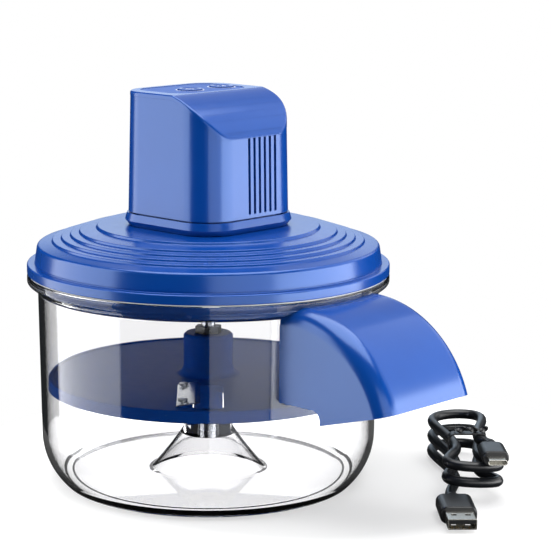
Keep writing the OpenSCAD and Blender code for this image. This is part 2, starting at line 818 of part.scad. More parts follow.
// A push button with a flange that holds it under the cover
module push_button() {
    flange_top = flat_z - button_gap;
    crown = panel_z + panel_t + button_up;
    translate([0, 0, flange_top - button_flange_t]) cylinder(r = button_r + button_lip, h = button_flange_t);
    rotate_extrude() polygon([[0, flange_top - edge], [button_r, flange_top - edge], [button_r, crown - button_round],
        [button_r - button_round, crown], [button_r - 2 * button_round, crown],
        [button_r - 3 * button_round, crown - button_dish], [0, crown - button_dish]]);
    translate([0, 0, flange_top - stem_l]) cylinder(r = stem_r, h = stem_l);
}

module start_button() {
    color(blue) at_points([button_at[0]]) push_button();
}

module mode_button() {
    color(blue) at_points([button_at[1]]) push_button();
}

module board() {
    color(green) difference() {
        translate([board_back, -board_w / 2, board_z]) cube([board_l, board_w, board_t]);
        at_points(peg_at) translate([0, 0, board_z - cut]) cylinder(r = peg_pin_r + seam, h = board_t + 2 * cut);
    }
}

module switches() {
    color(black) at_points(button_at) translate([-switch_w / 2, -switch_w / 2, board_z + board_t])
        cube([switch_w, switch_w, switch_h]);
}

module usb_socket() {
    wall_x = head_half - head_draft * (board_z - shell_z) / head_h;
    color(steel) difference() {
        translate([usb_set_in - wall_x, -usb_w / 2, board_z - usb_h]) cube([usb_l, usb_w, usb_h]);
        translate([-wall_x, usb_wall - usb_w / 2, board_z - usb_h + usb_wall])
            cube([usb_l - usb_wall, usb_w - 2 * usb_wall, usb_h - 2 * usb_wall]);
    }
    color(black) translate([usb_tongue_in - wall_x, -usb_tongue_w / 2, board_z - (usb_h + usb_tongue_t) / 2])
        cube([usb_l + usb_set_in - usb_tongue_in - usb_wall / 2, usb_tongue_w, usb_tongue_t]);
}

module battery() {
    color(wrap) at_points([cell_at]) translate([0, 0, base_top + seam]) {
        cylinder(r = cell_r, h = cell_l - cell_cap_h);
        translate([0, 0, cell_l - cell_cap_h - cut]) cylinder(r = cell_cap_r, h = cell_cap_h + cut);
    }
}

module motor() {
    color(steel) at_points([motor_at]) translate([0, 0, plate_up]) difference() {
        union() {
            cylinder(r = motor_r, h = motor_l);
            translate([0, 0, motor_l - cut]) cylinder(r = motor_cap_r, h = motor_cap_h + cut);
        }
        translate([0, 0, -cut]) cylinder(r = motor_shaft_r + run_gap, h = shaft_in + 2 * cut);
        at_points(motor_holes) translate([0, 0, -cut]) cylinder(r = motor_hole_r, h = motor_hole_d);
    }
}

module motor_shaft() {
    color(steel) at_points([motor_at]) translate([0, 0, high_gear_z - edge])
        cylinder(r = motor_shaft_r, h = plate_up - high_gear_z + edge + shaft_in);
}

module pinion() {
    color(bronze) at_points([motor_at]) translate([0, 0, high_gear_z])
        rotate([0, 0, motor_dir - 180 + 180 / pinion_teeth]) gear(pinion_teeth, gear_w, motor_shaft_r);
}

module idler_gear() {
    color(nylon) at_points([idler_at]) {
        translate([0, 0, low_gear_z]) rotate([0, 0, idler_dir + 180 + 180 / small_teeth])
            gear(small_teeth, high_gear_z - low_gear_z + seam, idler_pin_r + run_gap);
        translate([0, 0, high_gear_z]) rotate([0, 0, motor_dir])
            gear(large_teeth, gear_w - slide_gap, idler_pin_r + run_gap);
    }
}

module idler_pin() {
    color(steel) at_points([idler_at]) translate([0, 0, pin_seat])
        cylinder(r = idler_pin_r, h = plate_up - pin_seat);
}

module output_gear() {
    color(nylon) translate([0, 0, low_gear_z]) rotate([0, 0, idler_dir]) gear(out_teeth, gear_w, shaft_r);
}

module output_shaft() {
    low = socket_z + dog_gap + dog_floor;
    color(steel) translate([0, 0, low]) cylinder(r = shaft_r, h = plate_up - low);
}

module drive_dog() {
    color(black) translate([0, 0, socket_z + dog_gap]) difference() {
        cylinder(r = dog_r, h = dog_l, $fn = 6);
        translate([0, 0, dog_floor]) cylinder(r = shaft_r, h = dog_l);
    }
}

module gear_plate() {
    reach = head_half - head_wall - plate_in;
    far = 2 * head_half;
    pocket = cell_r + motor_cap_h;
    color(nylon) translate([0, 0, gear_plate_z]) difference() {
        linear_extrude(plate_t) difference() {
            rounded_rect(-reach, reach, -reach, reach, plate_corner);
            translate(cell_at) circle(pocket);
            translate([cell_at[0], -far]) square([far, far + cell_at[1] + pocket]);
            translate([cell_at[0] - pocket, -far]) square([far, far + cell_at[1]]);
            circle(bush_r);
            translate(idler_at) circle(idler_pin_r);
            translate(motor_at) circle(motor_nose_r);
            for (p = post_at) translate(p) circle(post_hole_r);
            for (p = motor_holes) translate(motor_at + p) circle(motor_hole_r + seam);
        }
    }
}

module base_bush() {
    color(bronze) translate([0, 0, plateau_z + seal_up])
        ring(bush_r, shaft_r + run_gap, low_gear_z - gear_gap - plateau_z - seal_up);
}

module plate_bush() {
    color(bronze) translate([0, 0, gear_plate_z]) ring(bush_r, shaft_r + run_gap, plate_t);
}

module shaft_seal() {
    color(black) translate([0, 0, plateau_z - lid_t]) ring(bush_r, shaft_r + run_gap, lid_t + seal_up);
}

module base_screws() {
    color(steel) at_points(boss_at) translate([0, 0, head_z + screw_sink]) mirror([0, 0, 1])
        screw(screw_head_r, screw_sink - seam, screw_r - run_gap, base_screw_l);
}

module plate_screws() {
    color(steel) at_points(post_at) translate([0, 0, plate_up]) screw(plate_screw_head[0], plate_screw_head[1], post_hole_r - run_gap, plate_t + plate_screw_l);
}

module motor_screws() {
    color(steel) at_points([for (p = motor_holes) motor_at + p]) translate([0, 0, gear_plate_z]) mirror([0, 0, 1])
        screw(motor_screw_head[0], motor_screw_head[1], motor_hole_r - run_gap, plate_t + motor_hole_d - 2 * cut);
}

// Charging cable: a hank that passes its tie six times, with three long loops and two short ones
cord_r = cord_d / 2;
tie_t = 0.7;
tie_w = 5;
tie_gap = 0.5;
rest_z = cord_r + tie_t + seam;
half_loops = 5;
steps_per_loop = 24;
neck_ratio = waist_half / loop_half;
end_z = rest_z + half_loops / 2 * loop_rise;
plug_a_at = [short_reach + 9, -waist_half - 5.5, rest_z];
plug_c_at = [12, waist_half + 3, end_z + 0.5];

// How wide the loops swell beside the tie, as a share of their widest half width
function swell(a) = let (s = sin(a)) s * (neck_ratio + (1.62 - 1.45 * neck_ratio) * cos(a) * cos(a));
function loop_point(t) = let (a = 270 - 360 * t, u = cos(a))
    [u > 0 ? short_reach * u : long_reach * u, loop_half * swell(a), rest_z + loop_rise * t];

// The whole route: a lead in from the plug on the table, the loops, and a lead out to the plug on top of them
lead_steps = 6;
function lead_point(t, from, to) = let (k = min(1, t * lead_steps / (lead_steps - 1)), ease = k * k * (3 - 2 * k))
    [to[0] * t, from[1] + (to[1] - from[1]) * ease, from[2] + (to[2] - from[2]) * ease];
route = concat(
    [for (i = [lead_steps:-1:1]) lead_point(i / lead_steps, [0, -waist_half, rest_z], plug_a_at)],
    [for (i = [0:steps_per_loop * half_loops / 2]) loop_point(i / steps_per_loop)],
    [for (i = [1:lead_steps]) lead_point(i / lead_steps, [0, waist_half, end_z], plug_c_at)]);
route_last = len(route) - 1;
function unit(v) = v / norm(v);
function heading(i) = unit(route[min(i + 1, route_last)] - route[max(i - 1, 0)]);
function side_of(d) = unit(cross(d, [0, 0, 1]));
sides = 6;
ring_points = [for (i = [0:route_last], k = [0:sides - 1]) let (d = heading(i), s = side_of(d), w = cross(s, d),
    a = 360 * (k + 0.5) / sides) route[i] + cord_r * (cos(a) * s + sin(a) * w)];
tube_faces = concat(
    [for (i = [0:route_last - 1], k = [0:sides - 1], half = [0, 1]) let (a = i * sides + k,
        b = i * sides + (k + 1) % sides) half == 0 ? [a, a + sides, b + sides] : [a, b + sides, b]],
    [for (k = [1:sides - 2]) [0, k, k + 1]],
    [for (k = [1:sides - 2]) [route_last * sides, route_last * sides + k + 1, route_last * sides + k]]);

// Least gap between stretches of the cable that aren't neighbours along it
gap_skip = 4;
least_gap = min([for (i = [0:route_last], j = [0:route_last]) if (j > i + gap_skip) norm(route[j] - route[i])]) - cord_d;

// Hank frame: X runs out of the tie towards the plugs
module hank_frame() {
    translate([hank_x, hank_y, 0]) rotate([0, 0, -45]) children();
}

module cable_hank() {
    echo(least_gap = least_gap);
    color(black) hank_frame() polyhedron(ring_points, tube_faces);
}

module cable_tie() {
    half = waist_half + cord_r + tie_gap;
    high = end_z + cord_r + seam;
    color(black) hank_frame() difference() {
        translate([-tie_w / 2, -half - tie_t, 0]) cube([tie_w, 2 * (half + tie_t), high + tie_t]);
        translate([-tie_w, -half, tie_t]) cube([2 * tie_w, 2 * half, high - tie_t]);
    }
}

// An overmoulded plug body with a short collar, its face at X = 0
module plug_body(width, thick, length) {
    r = thick / 2 - 0.1;
    rotate([0, 90, 0]) cylinder(r = cord_r + 0.9, h = 4.2);
    translate([4, 0, 0]) rotate([90, 0, 90]) linear_extrude(length - 4)
        rounded_rect(-width / 2, width / 2, -thick / 2, thick / 2, min(r, 3));
}

// A plug's metal shell, open at its end
module plug_shell(width, thick, length, wall, r) {
    rotate([90, 0, 90]) difference() {
        linear_extrude(length) rounded_rect(-width / 2, width / 2, -thick / 2, thick / 2, r);
        translate([0, 0, 1]) linear_extrude(length)
            rounded_rect(-width / 2 + wall, width / 2 - wall, -thick / 2 + wall, thick / 2 - wall, r - wall * 0.6);
    }
}

plug_a_l = 24;
plug_c_l = 21;
module plug_a() {
    color(black) hank_frame() translate(plug_a_at + [0, 0, 0.9]) plug_body(15.4, 7.6, plug_a_l);
}

module plug_a_shell() {
    color(steel) hank_frame() translate(plug_a_at + [plug_a_l, 0, 0.9]) plug_shell(12, 4.5, 12, 0.4, 0.6);
}

module plug_c() {
    color(black) hank_frame() translate(plug_c_at) plug_body(11.6, 6.2, plug_c_l);
}

module plug_c_shell() {
    color(steel) hank_frame() translate(plug_c_at + [plug_c_l, 0, 0]) plug_shell(8.25, 2.4, 6.6, 0.35, 1.1);
}

bowl();
pivot_pin();
thrust_washer();
chute();
disc();
blade();
blade_screws();
lid();
gasket();
head_base();
housing();
top_cover();
panel();
start_button();
mode_button();
board();
switches();
usb_socket();
battery();
motor();
motor_shaft();
pinion();
idler_gear();
idler_pin();
output_gear();
output_shaft();
drive_dog();
gear_plate();
base_bush();
plate_bush();
shaft_seal();
base_screws();
plate_screws();
motor_screws();
cable_hank();
cable_tie();
plug_a();
plug_a_shell();
plug_c();
plug_c_shell();
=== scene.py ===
# %% [markdown]
# # An electric peeler with a clear bowl
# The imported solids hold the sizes, the places and the joints, and nothing here changes them. This lesson
# dresses them: it models finer pieces over the solids that show, and gives every piece a real finish.

# %% Load the solids
import json
import math

import bmesh
import bpy
from mathutils import Matrix, Vector


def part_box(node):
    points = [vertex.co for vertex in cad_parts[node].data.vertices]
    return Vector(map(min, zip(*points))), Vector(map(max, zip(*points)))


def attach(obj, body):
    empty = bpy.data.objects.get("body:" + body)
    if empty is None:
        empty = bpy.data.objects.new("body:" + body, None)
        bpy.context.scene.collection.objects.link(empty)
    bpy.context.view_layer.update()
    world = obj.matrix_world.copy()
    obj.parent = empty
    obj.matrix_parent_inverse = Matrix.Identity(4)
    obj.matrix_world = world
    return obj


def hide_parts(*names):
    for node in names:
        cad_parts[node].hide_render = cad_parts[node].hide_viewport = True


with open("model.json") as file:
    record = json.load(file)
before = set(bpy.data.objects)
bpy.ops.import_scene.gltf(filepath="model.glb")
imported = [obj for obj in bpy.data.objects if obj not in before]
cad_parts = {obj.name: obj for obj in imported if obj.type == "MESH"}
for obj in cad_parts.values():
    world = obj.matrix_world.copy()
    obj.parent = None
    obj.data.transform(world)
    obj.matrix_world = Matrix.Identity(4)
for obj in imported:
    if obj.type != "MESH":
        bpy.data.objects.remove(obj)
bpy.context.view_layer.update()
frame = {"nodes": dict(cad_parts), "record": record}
MM = 0.001


def box_mm(node):
    """The lowest and the highest corner of a solid, in millimetres."""
    return [[round(value / MM, 2) for value in corner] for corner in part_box(node)]


# %% [markdown]
# ## Camera
# A product picture is taken from far off with a long lens, so that upright edges stay upright. The camera
# looks at the corner between the chute and the head's plain side, from about eleven degrees above the table.
# The lens is shifted sideways, as on a view camera, to leave room for the cable at the right.

# %% Place the camera
CAMERA_AT = (0.6226, -0.6226, 0.2599)
AIM_AT = Vector((0, 0, 0.09115))
camera_data = bpy.data.cameras.new("camera")
camera = bpy.data.objects.new("camera", camera_data)
bpy.context.scene.collection.objects.link(camera)
camera.location = CAMERA_AT
camera.rotation_euler = (AIM_AT - camera.location).to_track_quat("-Z", "Y").to_euler()
camera_data.sensor_width = 36
camera_data.lens = 132.2
camera_data.shift_x = 0.122
bpy.context.scene.camera = camera
bpy.context.scene.view_settings.view_transform = "Standard"
print("camera is", round(camera.location.length, 3), "m from the foot")

# %% [markdown]
# ## Charging cable
# The cable is one length of round black cord, wound into a hank with three long loops and two short ones,
# and tied at the waist. A cord is best made as a curve along its centreline with a round bevel: the curve is
# its length, and the bevel is its thickness. The points repeat the route of the solid, only closer together.

# %% Sizes of the hank
CORD_D = 4.5
REST_Z = 3.05
TURNS = 2.5
LOOP_RISE = 7
LONG_REACH = 50
SHORT_REACH = 26
LOOP_HALF = 17.5
WAIST_HALF = 5
END_Z = REST_Z + TURNS * LOOP_RISE
PLUG_A_AT = Vector((SHORT_REACH + 9, -WAIST_HALF - 5.5, REST_Z))
PLUG_C_AT = Vector((12, WAIST_HALF + 3, END_Z + 0.5))
HANK_AT = Vector((92, 70, 0)) * MM
HANK_TURN = math.radians(-45)
to_hank = Matrix.Translation(HANK_AT) @ Matrix.Rotation(HANK_TURN, 4, "Z")
print("the loops reach over", LONG_REACH + SHORT_REACH, "mm")

# %% Route of the cable
LOOP_STEPS = 60
LEAD_STEPS = 12
BULGE = 1.62
NECK_PULL = 1.45


def swell(angle):
    """How far a loop stands out, as a share of LOOP_HALF: widest at three quarters, closed at its end."""
    neck = WAIST_HALF / LOOP_HALF
    return math.sin(angle) * (neck + (BULGE - NECK_PULL * neck) * math.cos(angle) ** 2)


def loop_point(turn):
    """A point of the loops, after that many turns."""
    angle = math.radians(270 - 360 * turn)
    along = math.cos(angle)
    reach = SHORT_REACH if along > 0 else LONG_REACH
    return Vector((reach * along, LOOP_HALF * swell(angle), REST_Z + LOOP_RISE * turn))


def lead_point(share, start, end):
    """A point of the end that runs out from the waist to a plug. Its last sixth is straight and level."""
    k = min(1, share * 6 / 5)
    ease = k * k * (3 - 2 * k)
    return Vector((end.x * share, start.y + (end.y - start.y) * ease, start.z + (end.z - start.z) * ease))


first_pass = loop_point(0)
last_pass = loop_point(TURNS)
route = [lead_point(i / LEAD_STEPS, first_pass, PLUG_A_AT) for i in range(LEAD_STEPS, 0, -1)]
route += [loop_point(i / LOOP_STEPS) for i in range(int(TURNS * LOOP_STEPS) + 1)]
route += [lead_point(i / LEAD_STEPS, last_pass, PLUG_C_AT) for i in range(1, LEAD_STEPS + 1)]
route = [to_hank @ (point * MM) for point in route]

# %% Cable as a curve
cord_data = bpy.data.curves.new("charging_cable", "CURVE")
cord_data.dimensions = "3D"
cord_data.bevel_depth = CORD_D / 2 * MM
cord_data.bevel_resolution = 5
cord_data.use_fill_caps = True
spline = cord_data.splines.new("POLY")
spline.points.add(len(route) - 1)
for point, place in zip(spline.points, route):
    point.co = (*place, 1)
spline.use_smooth = True
cable = bpy.data.objects.new("charging_cable", cord_data)
bpy.context.scene.collection.objects.link(cable)
print("points on the cable", len(spline.points))

# %% [markdown]
# ## Colours and nodes
# Colours are written as sRGB hex values, as in a paint program, and the shaders want linear light, so one
# function turns the one into the other. Another adds a node, sets it and links it. Every finish is a
# Principled shader with a pattern in Object coordinates: the pieces sit at the origin, so these are metres.

# %% Tools for colours and nodes
def linear(text):
    """The linear colour of an sRGB hex value."""
    parts = [int(text[i:i + 2], 16) / 255 for i in (1, 3, 5)]
    return [p / 12.92 if p <= 0.04045 else ((p + 0.055) / 1.055) ** 2.4 for p in parts] + [1]


def add_node(tree, kind, inputs=None, **settings):
    """Adds a node, sets its properties, and fills its inputs with values or with other nodes' outputs."""
    node = tree.nodes.new(kind)
    for name, value in settings.items():
        setattr(node, name, value)
    for name, value in (inputs or {}).items():
        if isinstance(value, bpy.types.NodeSocket):
            tree.links.new(value, node.inputs[name])
        else:
            node.inputs[name].default_value = value
    return node


print("blue in linear light:", [round(value, 3) for value in linear("#033B8B")])

# %% Tools for finishes
finishes = {}


def new_finish(slot, name):
    """Starts a material for a slot: its empty tree and its Object coordinates."""
    material = bpy.data.materials.new(name)
    material.use_nodes = True
    material.node_tree.nodes.clear()
    finishes[slot] = material
    return material.node_tree, add_node(material.node_tree, "ShaderNodeTexCoord").outputs["Object"]


def per_mm(size):
    """The scale of a pattern whose grain is that many millimetres."""
    return 1 / (size * MM)


def shade(tree, colour, pattern, low, high, depth, strength, more):
    """A Principled shader whose roughness runs from low to high with a pattern, which bumps it as well."""
    rough = add_node(tree, "ShaderNodeMapRange", {"Value": pattern, "To Min": low, "To Max": high})
    bump = add_node(tree, "ShaderNodeBump", {"Height": pattern, "Distance": depth * MM, "Strength": strength})
    inputs = {"Base Color": colour, "Roughness": rough.outputs[0], "Normal": bump.outputs[0], **more}
    shader = add_node(tree, "ShaderNodeBsdfPrincipled", inputs)
    add_node(tree, "ShaderNodeOutputMaterial", {"Surface": shader.outputs[0]})


print("a pattern of one millimetre has the scale", per_mm(1))

# %% [markdown]
# ## Plastics
# The coloured parts are ABS, moulded in a polished tool: a deep blue under a clear gloss. One flat colour
# would look like paint on a screen, because real moulded plastic is never quite even: its colour drifts over
# a few centimetres and its skin waves over some millimetres. Two noises at those sizes give both. A finer
# wave would break the gloss into grain where the light grazes it.

# %% Moulded plastics
DRIFT = 18
SKIN_WAVE = 6


def moulded_plastic(slot, name, dark, light, low, high, wave=0.01, gloss=0.5, cast="#FFFFFF"):
    """Moulded plastic: uneven in colour, from low to high in roughness, with a faintly waved skin."""
    tree, place = new_finish(slot, name)
    drift = add_node(tree, "ShaderNodeTexNoise", {"Vector": place, "Scale": per_mm(DRIFT), "Detail": 2.0})
    skin = add_node(tree, "ShaderNodeTexNoise", {"Vector": place, "Scale": per_mm(SKIN_WAVE), "Detail": 3.0})
    tone = add_node(tree, "ShaderNodeMix",
                    {0: drift.outputs[0], 6: linear(dark), 7: linear(light)}, data_type="RGBA")
    shade(tree, tone.outputs[2], skin.outputs[0], low, high, depth=wave, strength=0.5,
          more={"IOR": 1.53, "Specular IOR Level": gloss, "Specular Tint": linear(cast)})


# The gloss has a tint, so that the mirrored lights come back light blue and the plastic looks deep.
BLUE_CAST = "#B2CEFF"
# Polished ABS mirrors each softbox as a clear light shape with a soft border.
moulded_plastic("blue_plastic", "blue_abs_gloss", "#033B8B", "#054296", 0.19, 0.25,
                wave=0.0015, gloss=1, cast=BLUE_CAST)
# The buttons are the same ABS, a shade duller where fingers rub them.
moulded_plastic("button_plastic", "blue_abs_button", "#033B8B", "#054296", 0.2, 0.26,
                wave=0.0015, gloss=1, cast=BLUE_CAST)
# The printed film is satin, so the panel stays calm between the glossy rims.
moulded_plastic("panel_film", "blue_film_satin", "#053F92", "#07469C", 0.42, 0.5,
                wave=0.004, cast=BLUE_CAST)
# The disc's tool is textured, so no light shape shows on it and its blue looks even and deep.
moulded_plastic("blue_satin", "blue_abs_satin", "#033F94", "#05469E", 0.4, 0.5, wave=0.006, gloss=0.05)
print("blue plastics:", [material.name for material in finishes.values()])

# %% Other plastics and rubbers
# Glass-filled nylon is black with a broad, soft shine.
moulded_plastic("black_plastic", "black_nylon_satin", "#101114", "#17191D", 0.32, 0.42)
# Natural nylon is milky, as gears and washers are.
moulded_plastic("nylon", "natural_nylon", "#D8D6CC", "#E4E2DA", 0.35, 0.45)
# Silicone is white and dull, with hardly a light on it.
moulded_plastic("silicone", "white_silicone", "#D9DCDD", "#E6E8E8", 0.45, 0.55)
# Soft vinyl is black, and each bend of the cord carries one long light.
moulded_plastic("cable_rubber", "black_soft_vinyl", "#0B0D11", "#14171C", 0.28, 0.38, wave=0.012)
# The cell's shrunk sleeve is a thin, tight, glossy skin.
moulded_plastic("cell_wrap", "cell_sleeve_blue", "#1C5B8F", "#226A9F", 0.28, 0.36, wave=0.004)
# Printed ink is flat and even, and stays white from every side.
moulded_plastic("white_print", "white_ink_matt", "#E4E9F2", "#F2F5FA", 0.45, 0.55, wave=0.002)
print("plastics:", len(finishes))

# %% [markdown]
# ## Clear bowl
# The bowl is clear styrene-acrylonitrile, a hard and bright plastic. Where one looks through the wall it is
# colourless. Along its outline one looks far along the wall, and there its colour is painted dark: this
# painted shade stands in for the dark surroundings that a clear wall refracts there. Glass that only refracts
# would need a dark room round it for that, and a ramp on the facing angle paints it in any light.

# %% Clear bowl plastic
CLEAR_WAVE = 6
tree, place = new_finish("clear_plastic", "clear_styrene_polished")
facing = add_node(tree, "ShaderNodeLayerWeight", {"Blend": 0.5})
painted_outline_shade = add_node(tree, "ShaderNodeValToRGB", {"Fac": facing.outputs["Facing"]})
# Nearly colourless up to a steep angle, then, within a few degrees, a painted shade that is nearly black.
for stop, (position, colour) in zip(painted_outline_shade.color_ramp.elements, ((0.88, "#FDFDFE"), (0.96, "#08090B"))):
    stop.position = position
    stop.color = linear(colour)
wave = add_node(tree, "ShaderNodeTexNoise", {"Vector": place, "Scale": per_mm(CLEAR_WAVE), "Detail": 2.0})
shade(tree, painted_outline_shade.outputs[0], wave.outputs[0], 0.01, 0.03, depth=0.004, strength=0.3,
      more={"IOR": 1.57, "Specular Tint": linear("#B0B4BA"), "Transmission Weight": 1.0})
print("clear bowl:", finishes["clear_plastic"].name)

# %% [markdown]
# ## Metals and the board
# The blade is ground steel, so its grain runs one way: a noise that is stretched along one axis draws it. The
# screws and shafts are turned, the bushes are sintered bronze with open pores, and the board is green
# solder-resist over glass cloth. Real grinding lines and pores are a few hundredths of a millimetre wide.
# They are drawn ten times coarser, so that they show.

# %% Ground and turned metals
def metal(slot, name, dark, light, low, high, stretch=(1, 1, 1), grain=0.4):
    """A metal with a fine grain in millimetres, stretched where a tool ran along it."""
    tree, place = new_finish(slot, name)
    along = add_node(tree, "ShaderNodeMapping", {"Vector": place, "Scale": stretch})
    lines = add_node(tree, "ShaderNodeTexNoise",
                     {"Vector": along.outputs[0], "Scale": per_mm(grain), "Detail": 3.0})
    tone = add_node(tree, "ShaderNodeMix",
                    {0: lines.outputs[0], 6: linear(dark), 7: linear(light)}, data_type="RGBA")
    shade(tree, tone.outputs[2], lines.outputs[0], low, high, depth=0.004, strength=0.4,
          more={"Metallic": 1.0})


# Ground stainless steel draws each light out across its lines.
metal("blade_steel", "stainless_steel_ground", "#A9ADB2", "#D3D6DA", 0.16, 0.3,
      stretch=(0.06, 1, 1), grain=0.3)
# Steel turned from drawn bar has faint lines along it, and a light stands on a shaft as one upright line.
metal("steel", "steel_turned", "#9DA1A6", "#C3C6CA", 0.22, 0.36, stretch=(1, 1, 0.2))
# Nickel plate is bright and a little warm.
metal("plug_metal", "nickel_plated_steel", "#C2C0B8", "#DAD8D0", 0.2, 0.3, grain=0.7)
# Gold plate is a yellow glint on the contacts.
metal("contact_gold", "gold_plated_contact", "#C79A3A", "#DDB455", 0.2, 0.28)
# Sintered bronze is brown and nearly matt, because its pores break the light up.
metal("bronze", "sintered_bronze", "#7E5A33", "#A9814F", 0.35, 0.5, grain=0.25)
print("with metals:", len(finishes))

# %% Board laminate
# Solder-resist is a green varnish, and the cloth under it shows as faint threads. They are half a
# millimetre apart, and are drawn at two, so that they show. A wave repeats three times in its scale.
CLOTH = 7
tree, place = new_finish("board_laminate", "board_green_resist")
cloth = add_node(tree, "ShaderNodeTexWave", {"Vector": place, "Scale": per_mm(CLOTH), "Distortion": 0.4})
tone = add_node(tree, "ShaderNodeMix",
                {0: cloth.outputs[1], 6: linear("#0E4A2C"), 7: linear("#135A37")}, data_type="RGBA")
shade(tree, tone.outputs[2], cloth.outputs[1], 0.35, 0.35, depth=0.01, strength=0.3, more={})
print("finishes:", len(finishes))

# %% [markdown]
# ## Every solid gets its finish
# The record says which slot each solid takes its finish from. The inner ones are hidden in the picture, but
# the shaft shows when the head is lifted, and the part may be shown opened, so all are dressed.

# %% Dress the solids
for subpart in frame["record"]["subparts"]:
    solid = frame["nodes"][subpart["node"]]
    solid.data.materials.clear()
    solid.data.materials.append(finishes[subpart["material_slot"]])

# %% [markdown]
# ## Outlines
# Most pieces begin as an outline in millimetres: the section of a turned piece, or the plan of a straight
# one. Sharp corners look false on mouldings, because a tool is never sharp, so an outline's corners are
# rounded where it is drawn, and the light finds an edge to run along.

# %% Tools for outlines
# Two corners share the edge between them, so each may take a little less than half of it.
EDGE_SHARE = 0.48


def arc(x, z, radius, start, end, steps):
    """Points on an arc of an outline, in millimetres and degrees."""
    angles = [math.radians(start + (end - start) * i / steps) for i in range(steps + 1)]
    return [(x + radius * math.cos(a), z + radius * math.sin(a)) for a in angles]


def soften(points, steps=4):
    """An outline whose corners are rounded: a point is (x, z), or (x, z, radius) where it is to be round."""
    out = []
    for number, point in enumerate(points):
        here = Vector(point[:2])
        if len(point) < 3:
            out.append(tuple(here))
            continue
        before = Vector(points[number - 1][:2]) - here
        after = Vector(points[number + 1][:2]) - here
        reach = point[2] / math.tan(before.angle(after) / 2)
        reach = min(reach, before.length * EDGE_SHARE, after.length * EDGE_SHARE)
        start = here + before.normalized() * reach
        end = here + after.normalized() * reach
        for k in range(steps + 1):
            t = k / steps
            out.append(tuple(start * (1 - t) ** 2 + here * 2 * t * (1 - t) + end * t * t))
    return out


def rounded_outline(x0, x1, y0, y1, radius, steps=14):
    """The points of a rectangle with round corners."""
    corners = ((x1 - radius, y1 - radius), (x0 + radius, y1 - radius),
               (x0 + radius, y0 + radius), (x1 - radius, y0 + radius))
    points = []
    for quarter, (x, y) in enumerate(corners):
        points += arc(x, y, radius, 90 * quarter, 90 * quarter + 90, steps)
    return points


print("a rounded square has", len(rounded_outline(-1, 1, -1, 1, 0.5)), "points")

# %% [markdown]
# ## From outlines to pieces
# A turned piece starts as one vertex: it is extruded along the outline and spun round the axis, as a potter
# turns clay. A straight piece is an outline that is filled and extruded, and a tapered one is extruded level
# by level and resized at each.

# %% Tools for drawing
SAME_PLACE = MM / 2000


def deselect_all():
    """Leaves edit mode and selects nothing, because an operator acts on all that is selected."""
    if bpy.context.object and bpy.context.object.mode != "OBJECT":
        bpy.ops.object.mode_set(mode="OBJECT")
    bpy.ops.object.select_all(action="DESELECT")


def draw_outline(name, points):
    """A chain of edges through points in millimetres, extruded from one vertex. It is left in edit mode."""
    deselect_all()
    bpy.ops.mesh.primitive_plane_add(size=MM)
    piece = bpy.context.object
    piece.name = name
    piece.data.name = name
    bpy.ops.object.mode_set(mode="EDIT")
    bpy.ops.mesh.select_all(action="SELECT")
    bpy.ops.mesh.merge(type="CENTER")
    here = Vector()
    for number, point in enumerate(points):
        there = Vector(point) * MM
        if number == 0:
            bpy.ops.transform.translate(value=there)
        else:
            bpy.ops.mesh.extrude_vertices_move(TRANSFORM_OT_translate={"value": there - here})
        here = there
    bpy.ops.mesh.select_all(action="SELECT")
    return piece


def close_mesh():
    """Merges what lies on the same place, turns the faces outwards and leaves edit mode."""
    bpy.ops.mesh.select_all(action="SELECT")
    bpy.ops.mesh.remove_doubles(threshold=SAME_PLACE)
    bpy.ops.mesh.normals_make_consistent(inside=False)
    bpy.ops.object.mode_set(mode="OBJECT")


print("points closer than", SAME_PLACE, "m are merged")

# %% Tools for turned and filled pieces
def turn_piece(name, points, steps=144):
    """A piece turned round the axis from an outline of (radius, height)."""
    piece = draw_outline(name, [(radius, 0, height) for radius, height in points])
    bpy.ops.mesh.spin(steps=steps, angle=2 * math.pi, center=(0, 0, 0), axis=(0, 0, 1))
    close_mesh()
    return piece


def fill_outline(name, points):
    """A closed outline of points in space, filled with one face. It is left in edit mode."""
    piece = draw_outline(name, list(points) + [points[0]])
    bpy.ops.mesh.remove_doubles(threshold=SAME_PLACE)
    bpy.ops.mesh.edge_face_add()
    return piece


print("outlines can be turned and filled")

# %% Tools for straight and tapered pieces
def on_axis(axis, along, a, b):
    """A point that far along an axis, with its other two coordinates in their order."""
    return {"X": (along, a, b), "Y": (a, along, b), "Z": (a, b, along)}[axis]


def extrude_piece(name, outline, axis, start, length):
    """An outline that is filled at a place on an axis and extruded along it."""
    piece = fill_outline(name, [on_axis(axis, start, a, b) for a, b in outline])
    step = Vector(on_axis(axis, length, 0, 0)) * MM
    bpy.ops.mesh.extrude_region_move(TRANSFORM_OT_translate={"value": step})
    close_mesh()
    return piece


def stack_levels(name, outline, axis, levels):
    """An outline extruded along an axis through levels of (place, share of the outline's size)."""
    place, share = levels[0]
    piece = fill_outline(name, [on_axis(axis, place, a * share, b * share) for a, b in outline])
    for next_place, next_share in levels[1:]:
        ratio = next_share / share
        step = Vector(on_axis(axis, next_place - place, 0, 0)) * MM
        centre = on_axis(axis, next_place * MM, 0, 0)
        bpy.ops.mesh.extrude_region_move(TRANSFORM_OT_translate={"value": step})
        bpy.ops.transform.resize(value=on_axis(axis, 1, ratio, ratio), center_override=centre)
        place = next_place
        share = next_share
    close_mesh()
    return piece


print("outlines can be carried along an axis")

# %% [markdown]
# ## Cutting, copying and finishing
# Openings are cut with Booleans, as a mill would cut them. What repeats is modelled once and copied, and each
# copy has a mesh of its own, so that it can be put in its place. At the end a piece's edges are rounded, its
# shading is smoothed, it is tied to the body that it rides on, and the solids that it stands for are hidden.

# %% Tools for editing and cutting
def make_active(piece):
    """Selects one piece alone."""
    deselect_all()
    piece.select_set(True)
    bpy.context.view_layer.objects.active = piece


